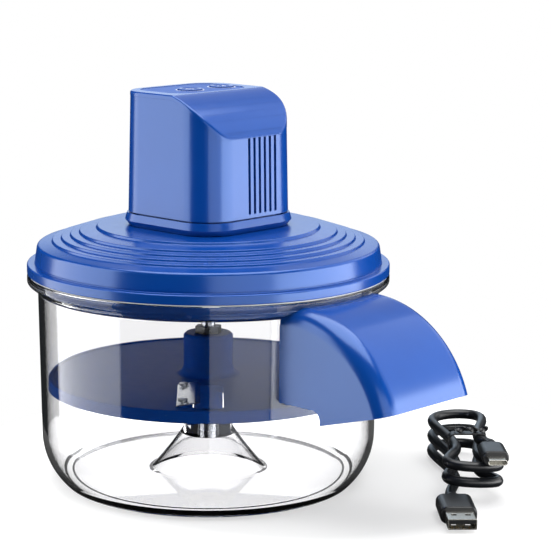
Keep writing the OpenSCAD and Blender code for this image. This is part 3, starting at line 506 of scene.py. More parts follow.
def edit_all(piece):
    """Opens one piece for editing, with all of it selected."""
    make_active(piece)
    bpy.ops.object.mode_set(mode="EDIT")
    bpy.ops.mesh.select_all(action="SELECT")


def apply_modifier(piece, kind, **settings):
    """Adds a modifier, sets it and applies it."""
    make_active(piece)
    bpy.ops.object.modifier_add(type=kind)
    modifier = piece.modifiers[-1]
    for name, value in settings.items():
        setattr(modifier, name, value)
    bpy.ops.object.modifier_apply(modifier=modifier.name)


def cut(piece, cutter, operation="DIFFERENCE"):
    """Cuts a piece with another one, or unites them. The other one is used up."""
    apply_modifier(piece, "BOOLEAN", object=cutter, operation=operation, solver="EXACT")
    bpy.data.objects.remove(cutter)


print("pieces can be cut")

# %% Tools for copies
def twin(piece, name):
    """A copy of a piece with a mesh of its own."""
    copy = piece.copy()
    copy.data = piece.data.copy()
    copy.name = name
    copy.data.name = name
    bpy.context.scene.collection.objects.link(copy)
    return copy


def put(piece, x, y):
    """Moves a piece's mesh sideways, in millimetres."""
    edit_all(piece)
    bpy.ops.transform.translate(value=(x * MM, y * MM, 0))
    bpy.ops.object.mode_set(mode="OBJECT")


def cut_at(piece, cutter, places):
    """Cuts a piece at several places with copies of one cutter."""
    for x, y in places:
        copy = twin(cutter, "copy")
        put(copy, x, y)
        cut(piece, copy)
    bpy.data.objects.remove(cutter)


print("pieces can be copied and put in place")

# %% Tool for copies of solids
def copy_of(node, name):
    """A copy of a solid, merged and with its flat faces made whole."""
    piece = twin(frame["nodes"][node], name)
    piece.parent = None
    for key in list(piece.keys()):
        del piece[key]
    make_active(piece)
    bpy.ops.mesh.customdata_custom_splitnormals_clear()
    edit_all(piece)
    bpy.ops.mesh.remove_doubles(threshold=MM / 500)
    bpy.ops.mesh.dissolve_limited(angle_limit=math.radians(0.3))
    bpy.ops.object.mode_set(mode="OBJECT")
    return piece


print("solids can be copied")

# %% Tool for finishing
def finish_piece(piece, body, slot, *nodes, bevel=0, smooth=35, finish=None):
    """Rounds the edges, smooths the shading, gives the piece its finish, ties it to its body, and hides its
    solids.
    """
    sharp = math.radians(smooth)
    if bevel:
        apply_modifier(piece, "BEVEL", width=bevel * MM, segments=3, limit_method="ANGLE", angle_limit=sharp)
    make_active(piece)
    bpy.ops.object.shade_smooth_by_angle(angle=sharp)
    apply_modifier(piece, "WEIGHTED_NORMAL", keep_sharp=True)
    piece.data.materials.clear()
    piece.data.materials.append(finishes[finish or slot])
    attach(piece, body)
    if nodes:
        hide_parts(*nodes)
    print(piece.name, "faces", len(piece.data.polygons))


print("pieces can be finished")

# %% [markdown]
# ## Bowl
# The bowl is one clear moulding: a wall, a flange at the rim, a large round corner, a foot ring, and a hollow
# cone in the floor that carries the disc. It could be built from rings that are bridged, but one outline that
# is spun gives wall and floor their true thickness, which is what clear plastic shows. The window for the
# chute is cut last.

# %% Sizes of the bowl
RIM_R = box_mm("bowl")[1][0]
RIM_TOP = box_mm("bowl")[1][2]
RIM_OVER = 5.7
WALL = 2.3
WALL_R = RIM_R - RIM_OVER
CORNER_R = 30
CORNER_X = WALL_R - CORNER_R
CORNER_Z = 22
FLOOR_TOP = 4.5
FLOOR_LOW = 2
FOOT_R = 64.5
FOOT_WIDE = 3.2
CONE_TOP = box_mm("thrust_washer")[0][2]
CONE_TIP_R = 9.5
CONE_FOOT_R = 25
CONE_WALL = 1.3
print("rim", RIM_R, "mm at", RIM_TOP, "mm, cone up to", CONE_TOP, "mm")

# %% Outline of the cone
CONE_RISE = CONE_TOP - FLOOR_TOP
CONE_FLARE = 1.2
CONE_STEPS = 12
HOLLOW_STEPS = 10
HOLLOW_STEP = 1.8


def cone_radius(height):
    """The outer radius of the cone in the floor, which flares a little towards its foot."""
    fall = (CONE_TOP - height) / CONE_RISE
    return CONE_TIP_R + (CONE_FOOT_R - CONE_TIP_R) * fall ** CONE_FLARE


cone_outside = [(0, CONE_TOP), (CONE_TIP_R - 0.5, CONE_TOP)]
for step in range(CONE_STEPS - 1, -1, -1):
    height = FLOOR_TOP + CONE_RISE * step / CONE_STEPS
    cone_outside.append((cone_radius(height), height))
cone_inside = []
for step in range(1, HOLLOW_STEPS + 1):
    height = FLOOR_LOW + HOLLOW_STEP * step
    cone_inside.append((cone_radius(height) - CONE_WALL, height))
cone_inside.append((0, height))
print("cone foot", round(cone_outside[-1][0], 2), "mm")

# %% Turn the bowl
RIM_THICK = 3.4
WINDOW_HALF = 25.5
WINDOW_LOW = 49.4
WINDOW_HIGH = 87.5
WINDOW_FROM = 60
WINDOW_DEEP = 30
FOOT_ANGLE = -46.5
inner_angle = -math.degrees(math.asin((CORNER_Z - FLOOR_TOP) / (CORNER_R - WALL)))
wall_outline = soften([
    (WALL_R - WALL, CORNER_Z), (WALL_R - 1.3, RIM_TOP, 0.7), (RIM_R, RIM_TOP, 0.9),
    (RIM_R, RIM_TOP - RIM_THICK, 1.2), (WALL_R + 1, RIM_TOP - 7, 2), (WALL_R, CORNER_Z)])
foot_outline = soften([
    (FOOT_R + 0.45, 0.3), (FOOT_R, 0, 0.3), (FOOT_R - FOOT_WIDE, 0, 0.6),
    (FOOT_R - FOOT_WIDE, FLOOR_LOW, 0.6), (26.2, FLOOR_LOW, 1), (22.9, 6)])
bowl_outline = cone_outside + arc(CORNER_X, CORNER_Z, CORNER_R - WALL, inner_angle, 0, 12)
bowl_outline += wall_outline[1:-1] + arc(CORNER_X, CORNER_Z, CORNER_R, 0, FOOT_ANGLE, 14)
bowl_outline += foot_outline[1:-1] + cone_inside
bowl = turn_piece("bowl_shell", bowl_outline, 160)
window = rounded_outline(-WINDOW_HALF, WINDOW_HALF, WINDOW_LOW, WINDOW_HIGH, 0.5, 3)
cut(bowl, extrude_piece("window", window, "X", WINDOW_FROM, WINDOW_DEEP))
finish_piece(bowl, "base", "clear_plastic", "bowl")

# %% [markdown]
# ## Lid
# The lid is turned too. Its look is in its rings: a flange, an upright band with a round shoulder, and four
# soft steps up to the plateau that the head stands on. Each step's edge is rounded, because the light lines
# along them are what the eye reads.

# %% Outside of the lid
LID_R = box_mm("lid")[1][0]
LID_TOP = box_mm("lid")[1][2]
SEAT_Z = 93.9
FLANGE_TOP = SEAT_Z + 4.2
BAND_R = 76.5
STEPS = 4
STEP_R = 68.1
STEP_Z = 108.5
STEP_WIDE = 4
STEP_HIGH = 1.3
lid_outline = [(LID_R - 4, SEAT_Z), (LID_R, SEAT_Z, 0.5), (LID_R, FLANGE_TOP, 0.8)]
lid_outline += [(BAND_R, FLANGE_TOP, 0.3), (BAND_R, 99, 0.3), (BAND_R - 1.1, 106.2, 1.6)]
for step in range(STEPS):
    radius = STEP_R - STEP_WIDE * step
    height = STEP_Z + STEP_HIGH * step
    lid_outline += [(radius + 0.9, height - 0.98, 0.25), (radius + 0.45, height, 0.45)]
lid_outline += [(49.5, LID_TOP - 1.15, 0.4), (48.8, LID_TOP, 0.5)]
print("the lid is", round(LID_TOP - SEAT_Z, 1), "mm high over the rim")

# %% Inside of the lid
SPIGOT_R = 72.2
SPIGOT_IN = SPIGOT_R - 2.2
SPIGOT_LOW = box_mm("lid")[0][2]
LID_BORE = 12
LID_UNDER = LID_TOP - 2.4
lid_outline += [(LID_BORE, LID_TOP, 0.3), (LID_BORE, LID_UNDER, 0.3), (47.9, LID_UNDER, 1)]
lid_outline += [(52.1, 109.7, 1), (65.7, 105.2, 2), (SPIGOT_IN, 102, 1.5)]
lid_outline += [(SPIGOT_IN, SPIGOT_LOW, 0.4), (SPIGOT_R, SPIGOT_LOW, 0.5), (SPIGOT_R, SEAT_Z, 0.3)]
lid_outline = soften(lid_outline + [(LID_R - 0.5, SEAT_Z)])
lid = turn_piece("lid_shell", lid_outline + [lid_outline[0]], 192)
finish_piece(lid, "lid", "blue_plastic", "lid", smooth=40)

# %% [markdown]
# ## Chute and disc
# The chute is a curved hood over the outlet, and the disc is a flat plate with a rim, a hub and a slot. The
# solids have their true shapes already, so modelling them anew would only risk a difference. A copy of each
# is merged, and its shading is smoothed.

# %% Smooth the chute and the disc
finish_piece(copy_of("chute", "chute_hood"), "base", "blue_plastic", "chute", smooth=30)
finish_piece(copy_of("disc", "peeling_disc"), "disc", "blue_plastic", "disc", smooth=30, finish="blue_satin")

# %% [markdown]
# ## Head
# The head is a rounded-square column that tapers. Its plan is extruded upwards level by level and resized a
# little, which gives the draft that lets a moulding leave its tool. The cover's side view is a flat top that
# breaks into a long round fall at the front, so it is cut from the column with two outlines, one above its
# skin and one below.

# %% Sizes of the head
HEAD_HALF = box_mm("housing")[1][0]
HEAD_LOW = box_mm("housing")[0][2]
HEAD_TOP = box_mm("top_cover")[1][2]
HEAD_R = 15.6
# Each side leans in by one millimetre over the whole height.
HEAD_DRAFT = 1 / (HEAD_TOP - HEAD_LOW)
FALL_R = 33
FALL_X = -0.86
FALL_Z = 141.22
FALL_LOW = box_mm("top_cover")[0][2]
SKIN = 2
# Cutters reach this far, well past the head.
FAR_OUT = 60
FAR_UP = 200
FAR_DOWN = 100
print("head", HEAD_HALF * 2, "mm wide, from", HEAD_LOW, "to", HEAD_TOP, "mm")

# %% Tools for the head
def taper(height, inset=0):
    """A level of the column: how far it is set in at a height."""
    return inset + HEAD_DRAFT * (height - HEAD_LOW), height


def head_block(name, levels):
    """A rounded-square block through levels of (inset, height)."""
    first = levels[0][0]
    half = HEAD_HALF - first
    outline = rounded_outline(-half, half, -half, half, HEAD_R - first)
    shares = [(height, (HEAD_HALF - inset) / half) for inset, height in levels]
    return stack_levels(name, outline, "Z", shares)


def fall_line(inset, low):
    """The cover's round fall in side view, set in from its skin, from the flat top down to a height."""
    radius = FALL_R - inset
    start = math.degrees(math.asin((HEAD_TOP - inset - FALL_Z) / radius))
    end = math.degrees(math.asin((low - FALL_Z) / radius))
    return arc(FALL_X, FALL_Z, radius, start, end, 40)


def side_cutter(name, points):
    """A side outline carried right across the head."""
    return extrude_piece(name, points, "Y", -FAR_OUT, 2 * FAR_OUT)


def bore(radius, low, high):
    """A round cutter on the axis."""
    return turn_piece("bore", [(0, low), (radius, low), (radius, high), (0, high)], 48)


print("the fall starts at", [round(value, 2) for value in fall_line(0, FALL_LOW)[0]])

# %% Base collar
SCREW_AT = [(x, y) for x in (-21, 21) for y in (-21, 21)]
COLLAR_LEVELS = [(0.3, 114.6), (-1.25, 117), (-0.5, 120.1), (2.3, 120.1), (2.35, 123.8)]
SLEEVE_LINE = [(4, 112.1), (11.7, 112.1), (11.7, 115.5), (7.2, 117), (7.2, 121.2), (4, 121.2), (4, 112.1)]
SCREW_LINE = [(0, 113), (2.8, 113), (2.8, 116.1), (1.6, 116.1), (1.6, 118), (0, 118)]
collar = head_block("head_collar", COLLAR_LEVELS)
cut(collar, head_block("inside", [(3.9, 117.4), (3.9, 125)]))
cut(collar, turn_piece("sleeve", SLEEVE_LINE, 96), "UNION")
cut(collar, bore(5, 110, 125))
cut_at(collar, turn_piece("screw_hole", SCREW_LINE, 48), SCREW_AT)
finish_piece(collar, "head", "blue_plastic", "head_base", bevel=0.2, smooth=22)

# %% Housing with its slits
SLITS = 6
SLIT_GAP = 3.2
SLIT_HALF = 0.7
SLIT_MID = 3.9
SLIT_LOW = 122.2
SLIT_HIGH = 156.5
SOCKET_HALF = 4.75
SOCKET_LOW = 161.4
SOCKET_HIGH = 165.3
CUT_FROM = 20
CUT_DEEP = 15
HOUSING_WALL = 2.2
CLEAR = 0.03
housing = head_block("head_housing", [taper(HEAD_LOW - 0.3), taper(HEAD_TOP)])
cut(housing, head_block("inside", [taper(HEAD_LOW - 2, HOUSING_WALL), taper(HEAD_TOP + 2.5, HOUSING_WALL)]))
fall = fall_line(SKIN + CLEAR, FALL_LOW - CLEAR)
above = [(-FAR_OUT, HEAD_TOP - SKIN - CLEAR)] + fall
above += [(FAR_OUT, FALL_LOW - CLEAR), (FAR_OUT, FAR_UP), (-FAR_OUT, FAR_UP)]
cut(housing, side_cutter("above", above))
slit = rounded_outline(-SLIT_HALF, SLIT_HALF, SLIT_LOW, SLIT_HIGH, 0.5, 5)
slit_cutter = extrude_piece("slit", slit, "X", CUT_FROM, CUT_DEEP)
cut_at(housing, slit_cutter, [(0, SLIT_MID + (k - (SLITS - 1) / 2) * SLIT_GAP) for k in range(SLITS)])
socket = rounded_outline(-SOCKET_HALF, SOCKET_HALF, SOCKET_LOW, SOCKET_HIGH, 1.9, 8)
cut(housing, extrude_piece("socket", socket, "X", -CUT_FROM, -CUT_DEEP))
finish_piece(housing, "head", "blue_plastic", "housing", bevel=0.04, smooth=22)

# %% [markdown]
# ## Cover
# The cover's outer edge is a small round, the same along the flat top and down the fall. A Bevel modifier
# would also round the edge below, where the cover meets the housing, so the edges are chosen by their place
# and bevelled in edit mode, before the skin is hollowed.

# %% Cover with its fall
COVER_EDGE = 0.9
BLOCK_LOW = 150
cover = head_block("head_cover", [taper(BLOCK_LOW), taper(HEAD_TOP)])
above = fall_line(0, FALL_LOW) + [(FAR_OUT, FALL_LOW), (FAR_OUT, FAR_UP), (6, FAR_UP)]
cut(cover, side_cutter("above", above))
make_active(cover)
bpy.ops.object.mode_set(mode="EDIT")
bpy.ops.mesh.select_mode(type="EDGE")
bpy.ops.mesh.select_all(action="DESELECT")
bpy.ops.mesh.edges_select_sharp(sharpness=math.radians(15))
shape = bmesh.from_edit_mesh(cover.data)
for edge in shape.edges:
    if min(vertex.co.z for vertex in edge.verts) < (FALL_LOW - 1) * MM:
        edge.select_set(False)
bmesh.update_edit_mesh(cover.data)
bpy.ops.mesh.bevel(offset=COVER_EDGE * MM, segments=4, affect="EDGES")
bpy.ops.mesh.select_mode(type="VERT")
bpy.ops.object.mode_set(mode="OBJECT")
below = [(-FAR_OUT, HEAD_TOP - SKIN)] + fall_line(SKIN, FALL_LOW)
below += [(FAR_OUT, FALL_LOW), (FAR_OUT, FAR_DOWN), (-FAR_OUT, FAR_DOWN)]
cut(cover, side_cutter("below", below))
print("cover faces", len(cover.data.polygons))

# %% Openings of the cover
BUTTON_AT = []
for node in ("start_button", "mode_button"):
    low, high = box_mm(node)
    BUTTON_AT.append(((low[0] + high[0]) / 2, (low[1] + high[1]) / 2))
# Radius, low end and high end of a button's bore.
BUTTON_BORE = (5.7, 165, 180)
PANEL_R = 9
PANEL_GAP = 0.1
(PANEL_X0, PANEL_Y0, PANEL_LOW), (PANEL_X1, PANEL_Y1, PANEL_TOP) = box_mm("panel")
recess = rounded_outline(PANEL_X0 - PANEL_GAP, PANEL_X1 + PANEL_GAP, PANEL_Y0 - PANEL_GAP,
                         PANEL_Y1 + PANEL_GAP, PANEL_R + PANEL_GAP)
cut(cover, extrude_piece("recess", recess, "Z", PANEL_LOW, 5))
cut_at(cover, bore(*BUTTON_BORE), BUTTON_AT)
finish_piece(cover, "head", "blue_plastic", "top_cover", smooth=30)

# %% [markdown]
# ## Panel and buttons
# The panel is a thin film set just below the cover's rim. The buttons come through it, each in a thin white
# ring. A button is turned with a round edge and a shallow dish for the finger, and carries a printed sign: a
# stroke in an open ring for power, and an arrow round a ring for the next mode. The signs and the rings are
# thin raised shapes, so they also stand in the mesh.

# %% Panel
panel_plan = rounded_outline(PANEL_X0, PANEL_X1, PANEL_Y0, PANEL_Y1, PANEL_R)
film = PANEL_TOP - PANEL_LOW
panel = extrude_piece("control_panel", panel_plan, "Z", PANEL_LOW, film)
cut_at(panel, bore(*BUTTON_BORE), BUTTON_AT)
finish_piece(panel, "head", "panel_film", "panel", bevel=0.12)

# %% Outlines of the buttons and their signs
CROWN = box_mm("start_button")[1][2]
BUTTON_LOW = box_mm("start_button")[0][2]
DISH = 0.4
CAP_R = 5.4
LEDGE_R = 6.5
STEM_R = 2
RING_IN = 5.95
RING_OUT = 6.25
PRINT = 0.07
LINE = 0.42


def ring_part(radius, width, start, end):
    """The outline of a part of a ring."""
    return arc(0, 0, radius + width / 2, start, end, 32) + arc(0, 0, radius - width / 2, end, start, 32)


button_line = soften([
    (0, CROWN - DISH), (3.2, CROWN - DISH, 1.2), (4.2, CROWN, 0.5), (CAP_R, CROWN, 0.5), (CAP_R, 171.4),
    (LEDGE_R, 171.35), (LEDGE_R, 170.15), (STEM_R, 170.15), (STEM_R, BUTTON_LOW), (0, BUTTON_LOW)])
ring_low = PANEL_TOP - 0.02
ring_high = PANEL_TOP + 0.04
ring_line = [(RING_IN, ring_low), (RING_OUT, ring_low), (RING_OUT, ring_high), (RING_IN, ring_high)]
ring_line.append(ring_line[0])
stroke = [(-LINE / 2, 0.5), (LINE / 2, 0.5), (LINE / 2, 2.5), (-LINE / 2, 2.5)]
arrow = [(1.0, 0.75), (2.35, 0.55), (1.85, 1.75)]
power_sign = (ring_part(1.7, LINE, 125, 415), stroke)
mode_sign = (ring_part(1.7, LINE, 100, 390), arrow)
print("buttons at", BUTTON_AT)

# %% Buttons with their signs
cap_blank = turn_piece("cap_blank", button_line, 72)
ring_blank = turn_piece("ring_blank", ring_line, 72)
for (x, y), body, strokes in zip(BUTTON_AT, ("start_button", "mode_button"), (power_sign, mode_sign)):
    cap = twin(cap_blank, body + "_cap")
    put(cap, x, y)
    finish_piece(cap, body, "button_plastic", body)
    # A thin raised white ring round the button, in the same white as its sign.
    ring = twin(ring_blank, body + "_ring")
    put(ring, x, y)
    finish_piece(ring, "head", "panel_film", finish="white_print")
    for number, outline in enumerate(strokes):
        turned = [(-v, u) for u, v in outline]
        sign = extrude_piece(body + "_sign_%d" % number, turned, "Z", CROWN - DISH - 0.02, PRINT)
        put(sign, x, y)
        finish_piece(sign, body, "panel_film", finish="white_print")
bpy.data.objects.remove(cap_blank)
bpy.data.objects.remove(ring_blank)

# %% [markdown]
# ## Plugs
# The two plugs are moulded over the cord's ends: a collar with two grooves that lets the cord bend, a body
# with round corners, and a pressed metal shell. The wide one has two square holes on each face, and a tongue
# with four contacts. Each is modelled along X, where its sizes are plain to read, and then laid in the hank.

# %% Tools for plugs
RELIEF_LINE = [
    (0, -0.2), (2.7, -0.2), (3.1, 0.2), (3.1, 1.1), (2.75, 1.3), (2.75, 1.9), (3.1, 2.1), (3.1, 3),
    (2.75, 3.2), (2.75, 4.3), (0, 4.3)]


def lay(piece, place):
    """Puts a piece that was modelled along X into the hank, and applies its place to the mesh."""
    make_active(piece)
    piece.matrix_world = to_hank @ Matrix.Translation(Vector(place) * MM)
    bpy.ops.object.transform_apply(location=True, rotation=True, scale=True)


def plug_body(name, width, thick, length):
    """An overmoulded body: its section, extruded and resized along X."""
    corner = min(thick / 2 - 0.1, 3)
    outline = rounded_outline(-width / 2, width / 2, -thick / 2, thick / 2, corner, 8)
    levels = [(4, 0.86), (4.6, 0.95), (5.6, 1), (length - 1.2, 1), (length - 0.35, 0.97), (length, 0.91)]
    return stack_levels(name, outline, "X", levels)


def plug_shell(name, width, thick, length, wall, corner):
    """A pressed metal shell, open at its end."""
    a = width / 2
    b = thick / 2
    outer = rounded_outline(-a, a, -b, b, corner, 8)
    inner = rounded_outline(wall - a, a - wall, wall - b, b - wall, corner * 0.7, 8)
    piece = extrude_piece(name, outer, "X", 0, length)
    cut(piece, extrude_piece("hollow", inner, "X", 1, length))
    return piece


print("collar of a plug is", RELIEF_LINE[-1][1], "mm long")

# %% Plug bodies
PLUG_A_MID = PLUG_A_AT + Vector((0, 0, 0.9))
PLUG_A_SIZE = (15.4, 7.6, 24)
PLUG_C_SIZE = (11.6, 6.2, 21)
relief = turn_piece("relief", RELIEF_LINE, 40)
relief.rotation_euler = (0, math.pi / 2, 0)
make_active(relief)
bpy.ops.object.transform_apply(location=True, rotation=True, scale=True)
plug_pieces = []
for name, node, place, size in (("wide_plug_body", "plug_a", PLUG_A_MID, PLUG_A_SIZE),
                                ("small_plug_body", "plug_c", PLUG_C_AT, PLUG_C_SIZE)):
    body = plug_body(name, *size)
    cut(body, twin(relief, "relief_copy"), "UNION")
    lay(body, place)
    finish_piece(body, "base", "cable_rubber", node, smooth=30)
    plug_pieces.append(body)
bpy.data.objects.remove(relief)

# %% Plug shells
wide_end = PLUG_A_MID + Vector((PLUG_A_SIZE[2], 0, 0))
small_end = PLUG_C_AT + Vector((PLUG_C_SIZE[2], 0, 0))
wide_shell = plug_shell("wide_plug_shell", width=12, thick=4.5, length=12, wall=0.4, corner=0.6)
catch = rounded_outline(4.6, 6.9, -1.1, 1.1, 0.2, 3)
catch_cutter = extrude_piece("catch", catch, "Z", -4, 8)
cut_at(wide_shell, catch_cutter, [(0, -2.9), (0, 2.9)])
small_shell = plug_shell("small_plug_shell", width=8.25, thick=2.4, length=6.6, wall=0.35, corner=1.1)
lay(wide_shell, wide_end)
lay(small_shell, small_end)
finish_piece(wide_shell, "base", "plug_metal", "plug_a_shell", bevel=0.08)
finish_piece(small_shell, "base", "plug_metal", "plug_c_shell", bevel=0.08)
plug_pieces += [wide_shell, small_shell]

# %% Tongue with its contacts
section = rounded_outline(-5.5, 5.5, 0.1, 1.75, 0.2, 3)
tongue = extrude_piece("wide_plug_tongue", section, "X", 1, 10.4)
lay(tongue, wide_end)
finish_piece(tongue, "base", "black_plastic", bevel=0.1)
plug_pieces.append(tongue)
strip = rounded_outline(4, 10.6, -0.55, 0.55, 0.2, 3)
contact_blank = extrude_piece("contact_blank", strip, "Z", -0.05, 0.16)
for number, y in enumerate((-3.5, -1.2, 1.2, 3.5)):
    contact = twin(contact_blank, "wide_plug_contact_%d" % number)
    put(contact, 0, y)
    lay(contact, wide_end)
    finish_piece(contact, "base", "plug_metal", finish="contact_gold")
    plug_pieces.append(contact)
bpy.data.objects.remove(contact_blank)

# %% [markdown]
# ## Tie
# The hank is held by a flat twist tie, whose ends are twisted together on top. The band is a rounded frame
# round the waist. The tail is a straight strip that a Simple Deform modifier twists, because a twist needs
# many cross-sections and no other tool turns them so evenly.

# %% Band of the tie
TIE_HALF = 8.45
TIE_TOP = box_mm("cable_tie")[1][2]
TIE_THICK = 0.7
TIE_WIDE = 5
band = rounded_outline(-TIE_HALF, TIE_HALF, 0, TIE_TOP, 2.6, 8)
opening = rounded_outline(TIE_THICK - TIE_HALF, TIE_HALF - TIE_THICK, TIE_THICK, TIE_TOP - TIE_THICK, 2, 8)
tie = extrude_piece("tie_band", band, "X", -TIE_WIDE / 2, TIE_WIDE)
cut(tie, extrude_piece("opening", opening, "X", -TIE_WIDE, 2 * TIE_WIDE))
lay(tie, (0, 0, 0))
finish_piece(tie, "base", "black_plastic", "cable_tie", bevel=0.15)

# %% Twisted tail of the tie
TAIL_HALF = 1.3
TAIL_FROM = -6
TAIL_LONG = 15
TAIL_UP = 1.4
TAIL_TWIST = math.radians(540)
tail_end = [(-TAIL_HALF, 0), (TAIL_HALF, 0), (TAIL_HALF, TIE_THICK), (-TAIL_HALF, TIE_THICK)]
tail = extrude_piece("tie_tail", tail_end, "Y", TAIL_FROM, TAIL_LONG)
edit_all(tail)
bpy.ops.mesh.subdivide(number_cuts=20)
bpy.ops.object.mode_set(mode="OBJECT")
apply_modifier(tail, "SIMPLE_DEFORM", deform_method="TWIST", deform_axis="Y", angle=TAIL_TWIST)
lay(tail, (0, 0, TIE_TOP + TAIL_UP))
finish_piece(tail, "base", "black_plastic")
plug_pieces += [tie, tail]

# %% [markdown]
# ## Dressing the cable
# The cable leaves its first plug and ends in the second. It takes the finish of soft vinyl and rides on the
# base, and the solid hank is hidden.

cable.data.materials.append(finishes["cable_rubber"])
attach(cable, "base")
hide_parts("cable_hank")
print("pieces on the cable", len(plug_pieces))

# %% [markdown]
# ## Table
# The table is plain and pale, and small, so that the softboxes can shine past its edge onto the upright
# faces. A white table under white light would clip and flood the clear bowl, so its finish asks each ray
# where it comes from. To the camera, and straight through clear plastic, it is nearly white and keeps a soft
# shadow. To light that bounces it is a dark grey.

# %% Tool for light paths
def seen_straight(tree):
    """The ray, whether it went straight through clear plastic, and whether the camera sees this point."""
    ray = add_node(tree, "ShaderNodeLightPath").outputs
    bounces = add_node(tree, "ShaderNodeMath", {0: ray["Diffuse Depth"], 1: ray["Glossy Depth"]})
    straight = add_node(tree, "ShaderNodeMath", {0: bounces.outputs[0], 1: 0.5}, operation="LESS_THAN")
    through = add_node(tree, "ShaderNodeMath",
                       {0: ray["Is Transmission Ray"], 1: straight.outputs[0]}, operation="MULTIPLY")
    seen = add_node(tree, "ShaderNodeMath",
                    {0: ray["Is Camera Ray"], 1: through.outputs[0]}, operation="MAXIMUM")
    return ray, through.outputs[0], seen.outputs[0]


print("rays can be told apart")

# %% Table top
TABLE_R = 0.165
TABLE_AT = (0.03, 0.03, 0)
deselect_all()
bpy.ops.mesh.primitive_circle_add(vertices=96, radius=TABLE_R, fill_type="NGON", location=TABLE_AT)
bpy.ops.object.transform_apply(location=True)
table = bpy.context.object
table.name = "table"
edit_all(table)
bpy.ops.mesh.inset(thickness=0.01)
bpy.ops.object.mode_set(mode="OBJECT")
print("table", TABLE_R * 2, "m across")

# %% Table finish
SHADE_R = 0.09
WHITE_R = 0.15
tree, place = new_finish("table", "table_white_matt")
ray, through, seen = seen_straight(tree)
from_middle = add_node(tree, "ShaderNodeVectorMath", {0: place, 1: TABLE_AT}, operation="DISTANCE")
# Under the object the white is held back, so that its shadow shows. Towards the edge it is full.
fade = add_node(tree, "ShaderNodeMapRange",
                {"Value": from_middle.outputs["Value"], "From Min": SHADE_R, "From Max": WHITE_R,
                 "To Min": 0.5, "To Max": 1.0})
plain = add_node(tree, "ShaderNodeMath", {0: ray["Is Camera Ray"], 1: fade.outputs[0]}, operation="MULTIPLY")
# Clear plastic takes a sixth of the light, and the white behind it makes up for that.
behind = add_node(tree, "ShaderNodeMath", {0: through, 1: 1.2}, operation="MULTIPLY")
shown = add_node(tree, "ShaderNodeMath", {0: plain.outputs[0], 1: behind.outputs[0]}, operation="MAXIMUM")
tone = add_node(tree, "ShaderNodeMix",
                {0: seen, 6: linear("#4A4A4A"), 7: linear("#B4B4B4")}, data_type="RGBA")
shader = add_node(tree, "ShaderNodeBsdfPrincipled",
                  {"Base Color": tone.outputs[2], "Roughness": 0.9, "Specular IOR Level": 0.0,
                   "Emission Color": linear("#FFFFFF"), "Emission Strength": shown.outputs[0]})
add_node(tree, "ShaderNodeOutputMaterial", {"Surface": shader.outputs[0]})
table.data.materials.append(finishes["table"])
print("table finish:", finishes["table"].name)

# %% [markdown]
# ## Light
# Glossy plastic shows its shape by what it mirrors, so each lamp stands where a face mirrors it. A tall
# softbox at the left reaches down past the table and lights the upright faces on that side, and a lower one
# at the right does the same there. The dark gap between them draws the head's corner. A wide box above gives
# the steps of the lid their light lines, two weaker ones stand high at the right and behind, and a fill
# beside the camera keeps the front from going black.

# %% Softboxes
TOWARDS_CAMERA = Vector((1, -1, 0)).normalized()
SCREEN_LEFT = Vector((-1, -1, 0)).normalized()


def softbox(name, angle, distance, width, low, high, radiance):
    """A lamp at an angle to the left of the camera's direction, turned to the object."""
    lamp_data = bpy.data.lights.new(name, "AREA")
    lamp_data.shape = "RECTANGLE"
    lamp_data.size = width
    lamp_data.size_y = high - low
    lamp_data.energy = radiance * math.pi * width * (high - low)
    lamp = bpy.data.objects.new(name, lamp_data)
    bpy.context.scene.collection.objects.link(lamp)
    turn = math.radians(angle)
    side = TOWARDS_CAMERA * math.cos(turn) + SCREEN_LEFT * math.sin(turn)
    lamp.location = side * distance + Vector((0, 0, (low + high) / 2))
    lamp.rotation_euler = side.to_track_quat("Z", "Y").to_euler()
    lamp.visible_camera = False
    return lamp


softbox("left_softbox", angle=87, distance=0.5, width=0.56, low=-0.15, high=0.5, radiance=3.2)
softbox("right_softbox", angle=-72, distance=0.5, width=0.62, low=-0.15, high=0.2, radiance=5.0)
softbox("upper_right_softbox", angle=-105, distance=0.75, width=1.2, low=0.25, high=0.95, radiance=1.25)
softbox("back_softbox", angle=-166, distance=0.8, width=0.8, low=0.3, high=1.1, radiance=0.5)
softbox("front_fill", angle=-20, distance=0.6, width=0.42, low=-0.15, high=0.35, radiance=1.8)
top = softbox("top_softbox", angle=-90, distance=0.05, width=0.9, low=0.4, high=1.3, radiance=4.2)
top.rotation_euler = (0, 0, math.radians(45))

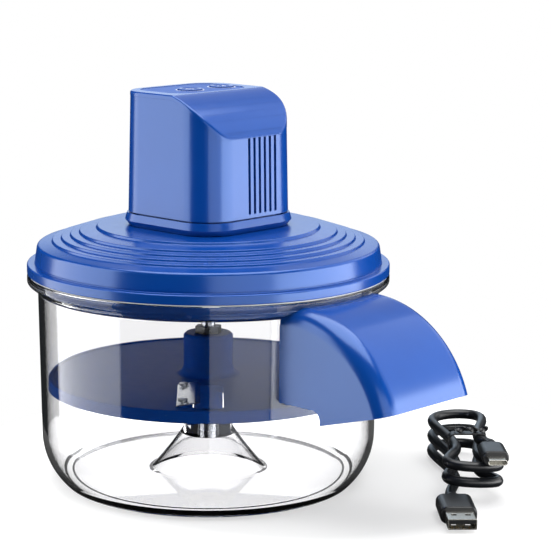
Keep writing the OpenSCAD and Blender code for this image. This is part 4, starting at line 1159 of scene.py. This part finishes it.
# %% [markdown]
# ## Background
# The background is white to the camera and through clear plastic, and almost dark to everything else, so it
# adds hardly any light of its own. Glossy faces also mirror a backdrop, but only in the part of the room
# behind the object, where a paper roll would hang. That paper is a pale blue: at a grazing angle a glossy
# skin mirrors without a tint of its own, and white paper would turn the lid's light lines grey.

# %% White background
DARK = 0.02
PAPER = "#D6EBFF"
PAPER_LIGHT = 1.14
# Cosines of the angles from the paper's middle at which it begins and is full.
PAPER_EDGE = 0.955
PAPER_FULL = 0.99
BACKDROP = (Vector((0, 0, 0.19)) - TOWARDS_CAMERA).normalized()
world = bpy.data.worlds.new("studio")
bpy.context.scene.world = world
world.use_nodes = True
tree = world.node_tree
tree.nodes.clear()
ray, through, seen = seen_straight(tree)
way = add_node(tree, "ShaderNodeTexCoord").outputs["Generated"]
near_paper = add_node(tree, "ShaderNodeVectorMath", {0: way, 1: BACKDROP}, operation="DOT_PRODUCT")
paper = add_node(tree, "ShaderNodeMapRange",
                 {"Value": near_paper.outputs["Value"], "From Min": PAPER_EDGE, "From Max": PAPER_FULL,
                  "To Min": DARK, "To Max": PAPER_LIGHT})
mirrored = add_node(tree, "ShaderNodeMath",
                    {0: paper.outputs[0], 1: ray["Is Glossy Ray"]}, operation="MULTIPLY")
shown = add_node(tree, "ShaderNodeMath", {0: seen, 1: mirrored.outputs[0]}, operation="MAXIMUM")
level = add_node(tree, "ShaderNodeMath", {0: shown.outputs[0], 1: DARK}, operation="MAXIMUM")
# A ray through clear plastic counts as glossy too, and must stay white.
off_skin = add_node(tree, "ShaderNodeMath",
                    {0: ray["Is Glossy Ray"], 1: ray["Is Transmission Ray"]},
                    operation="SUBTRACT", use_clamp=True)
tone = add_node(tree, "ShaderNodeMix",
                {0: off_skin.outputs[0], 6: linear("#FFFFFF"), 7: linear(PAPER)}, data_type="RGBA")
background = add_node(tree, "ShaderNodeBackground",
                      {"Color": tone.outputs[2], "Strength": level.outputs[0]})
add_node(tree, "ShaderNodeOutputWorld", {"Surface": background.outputs[0]})
print("background:", world.name)
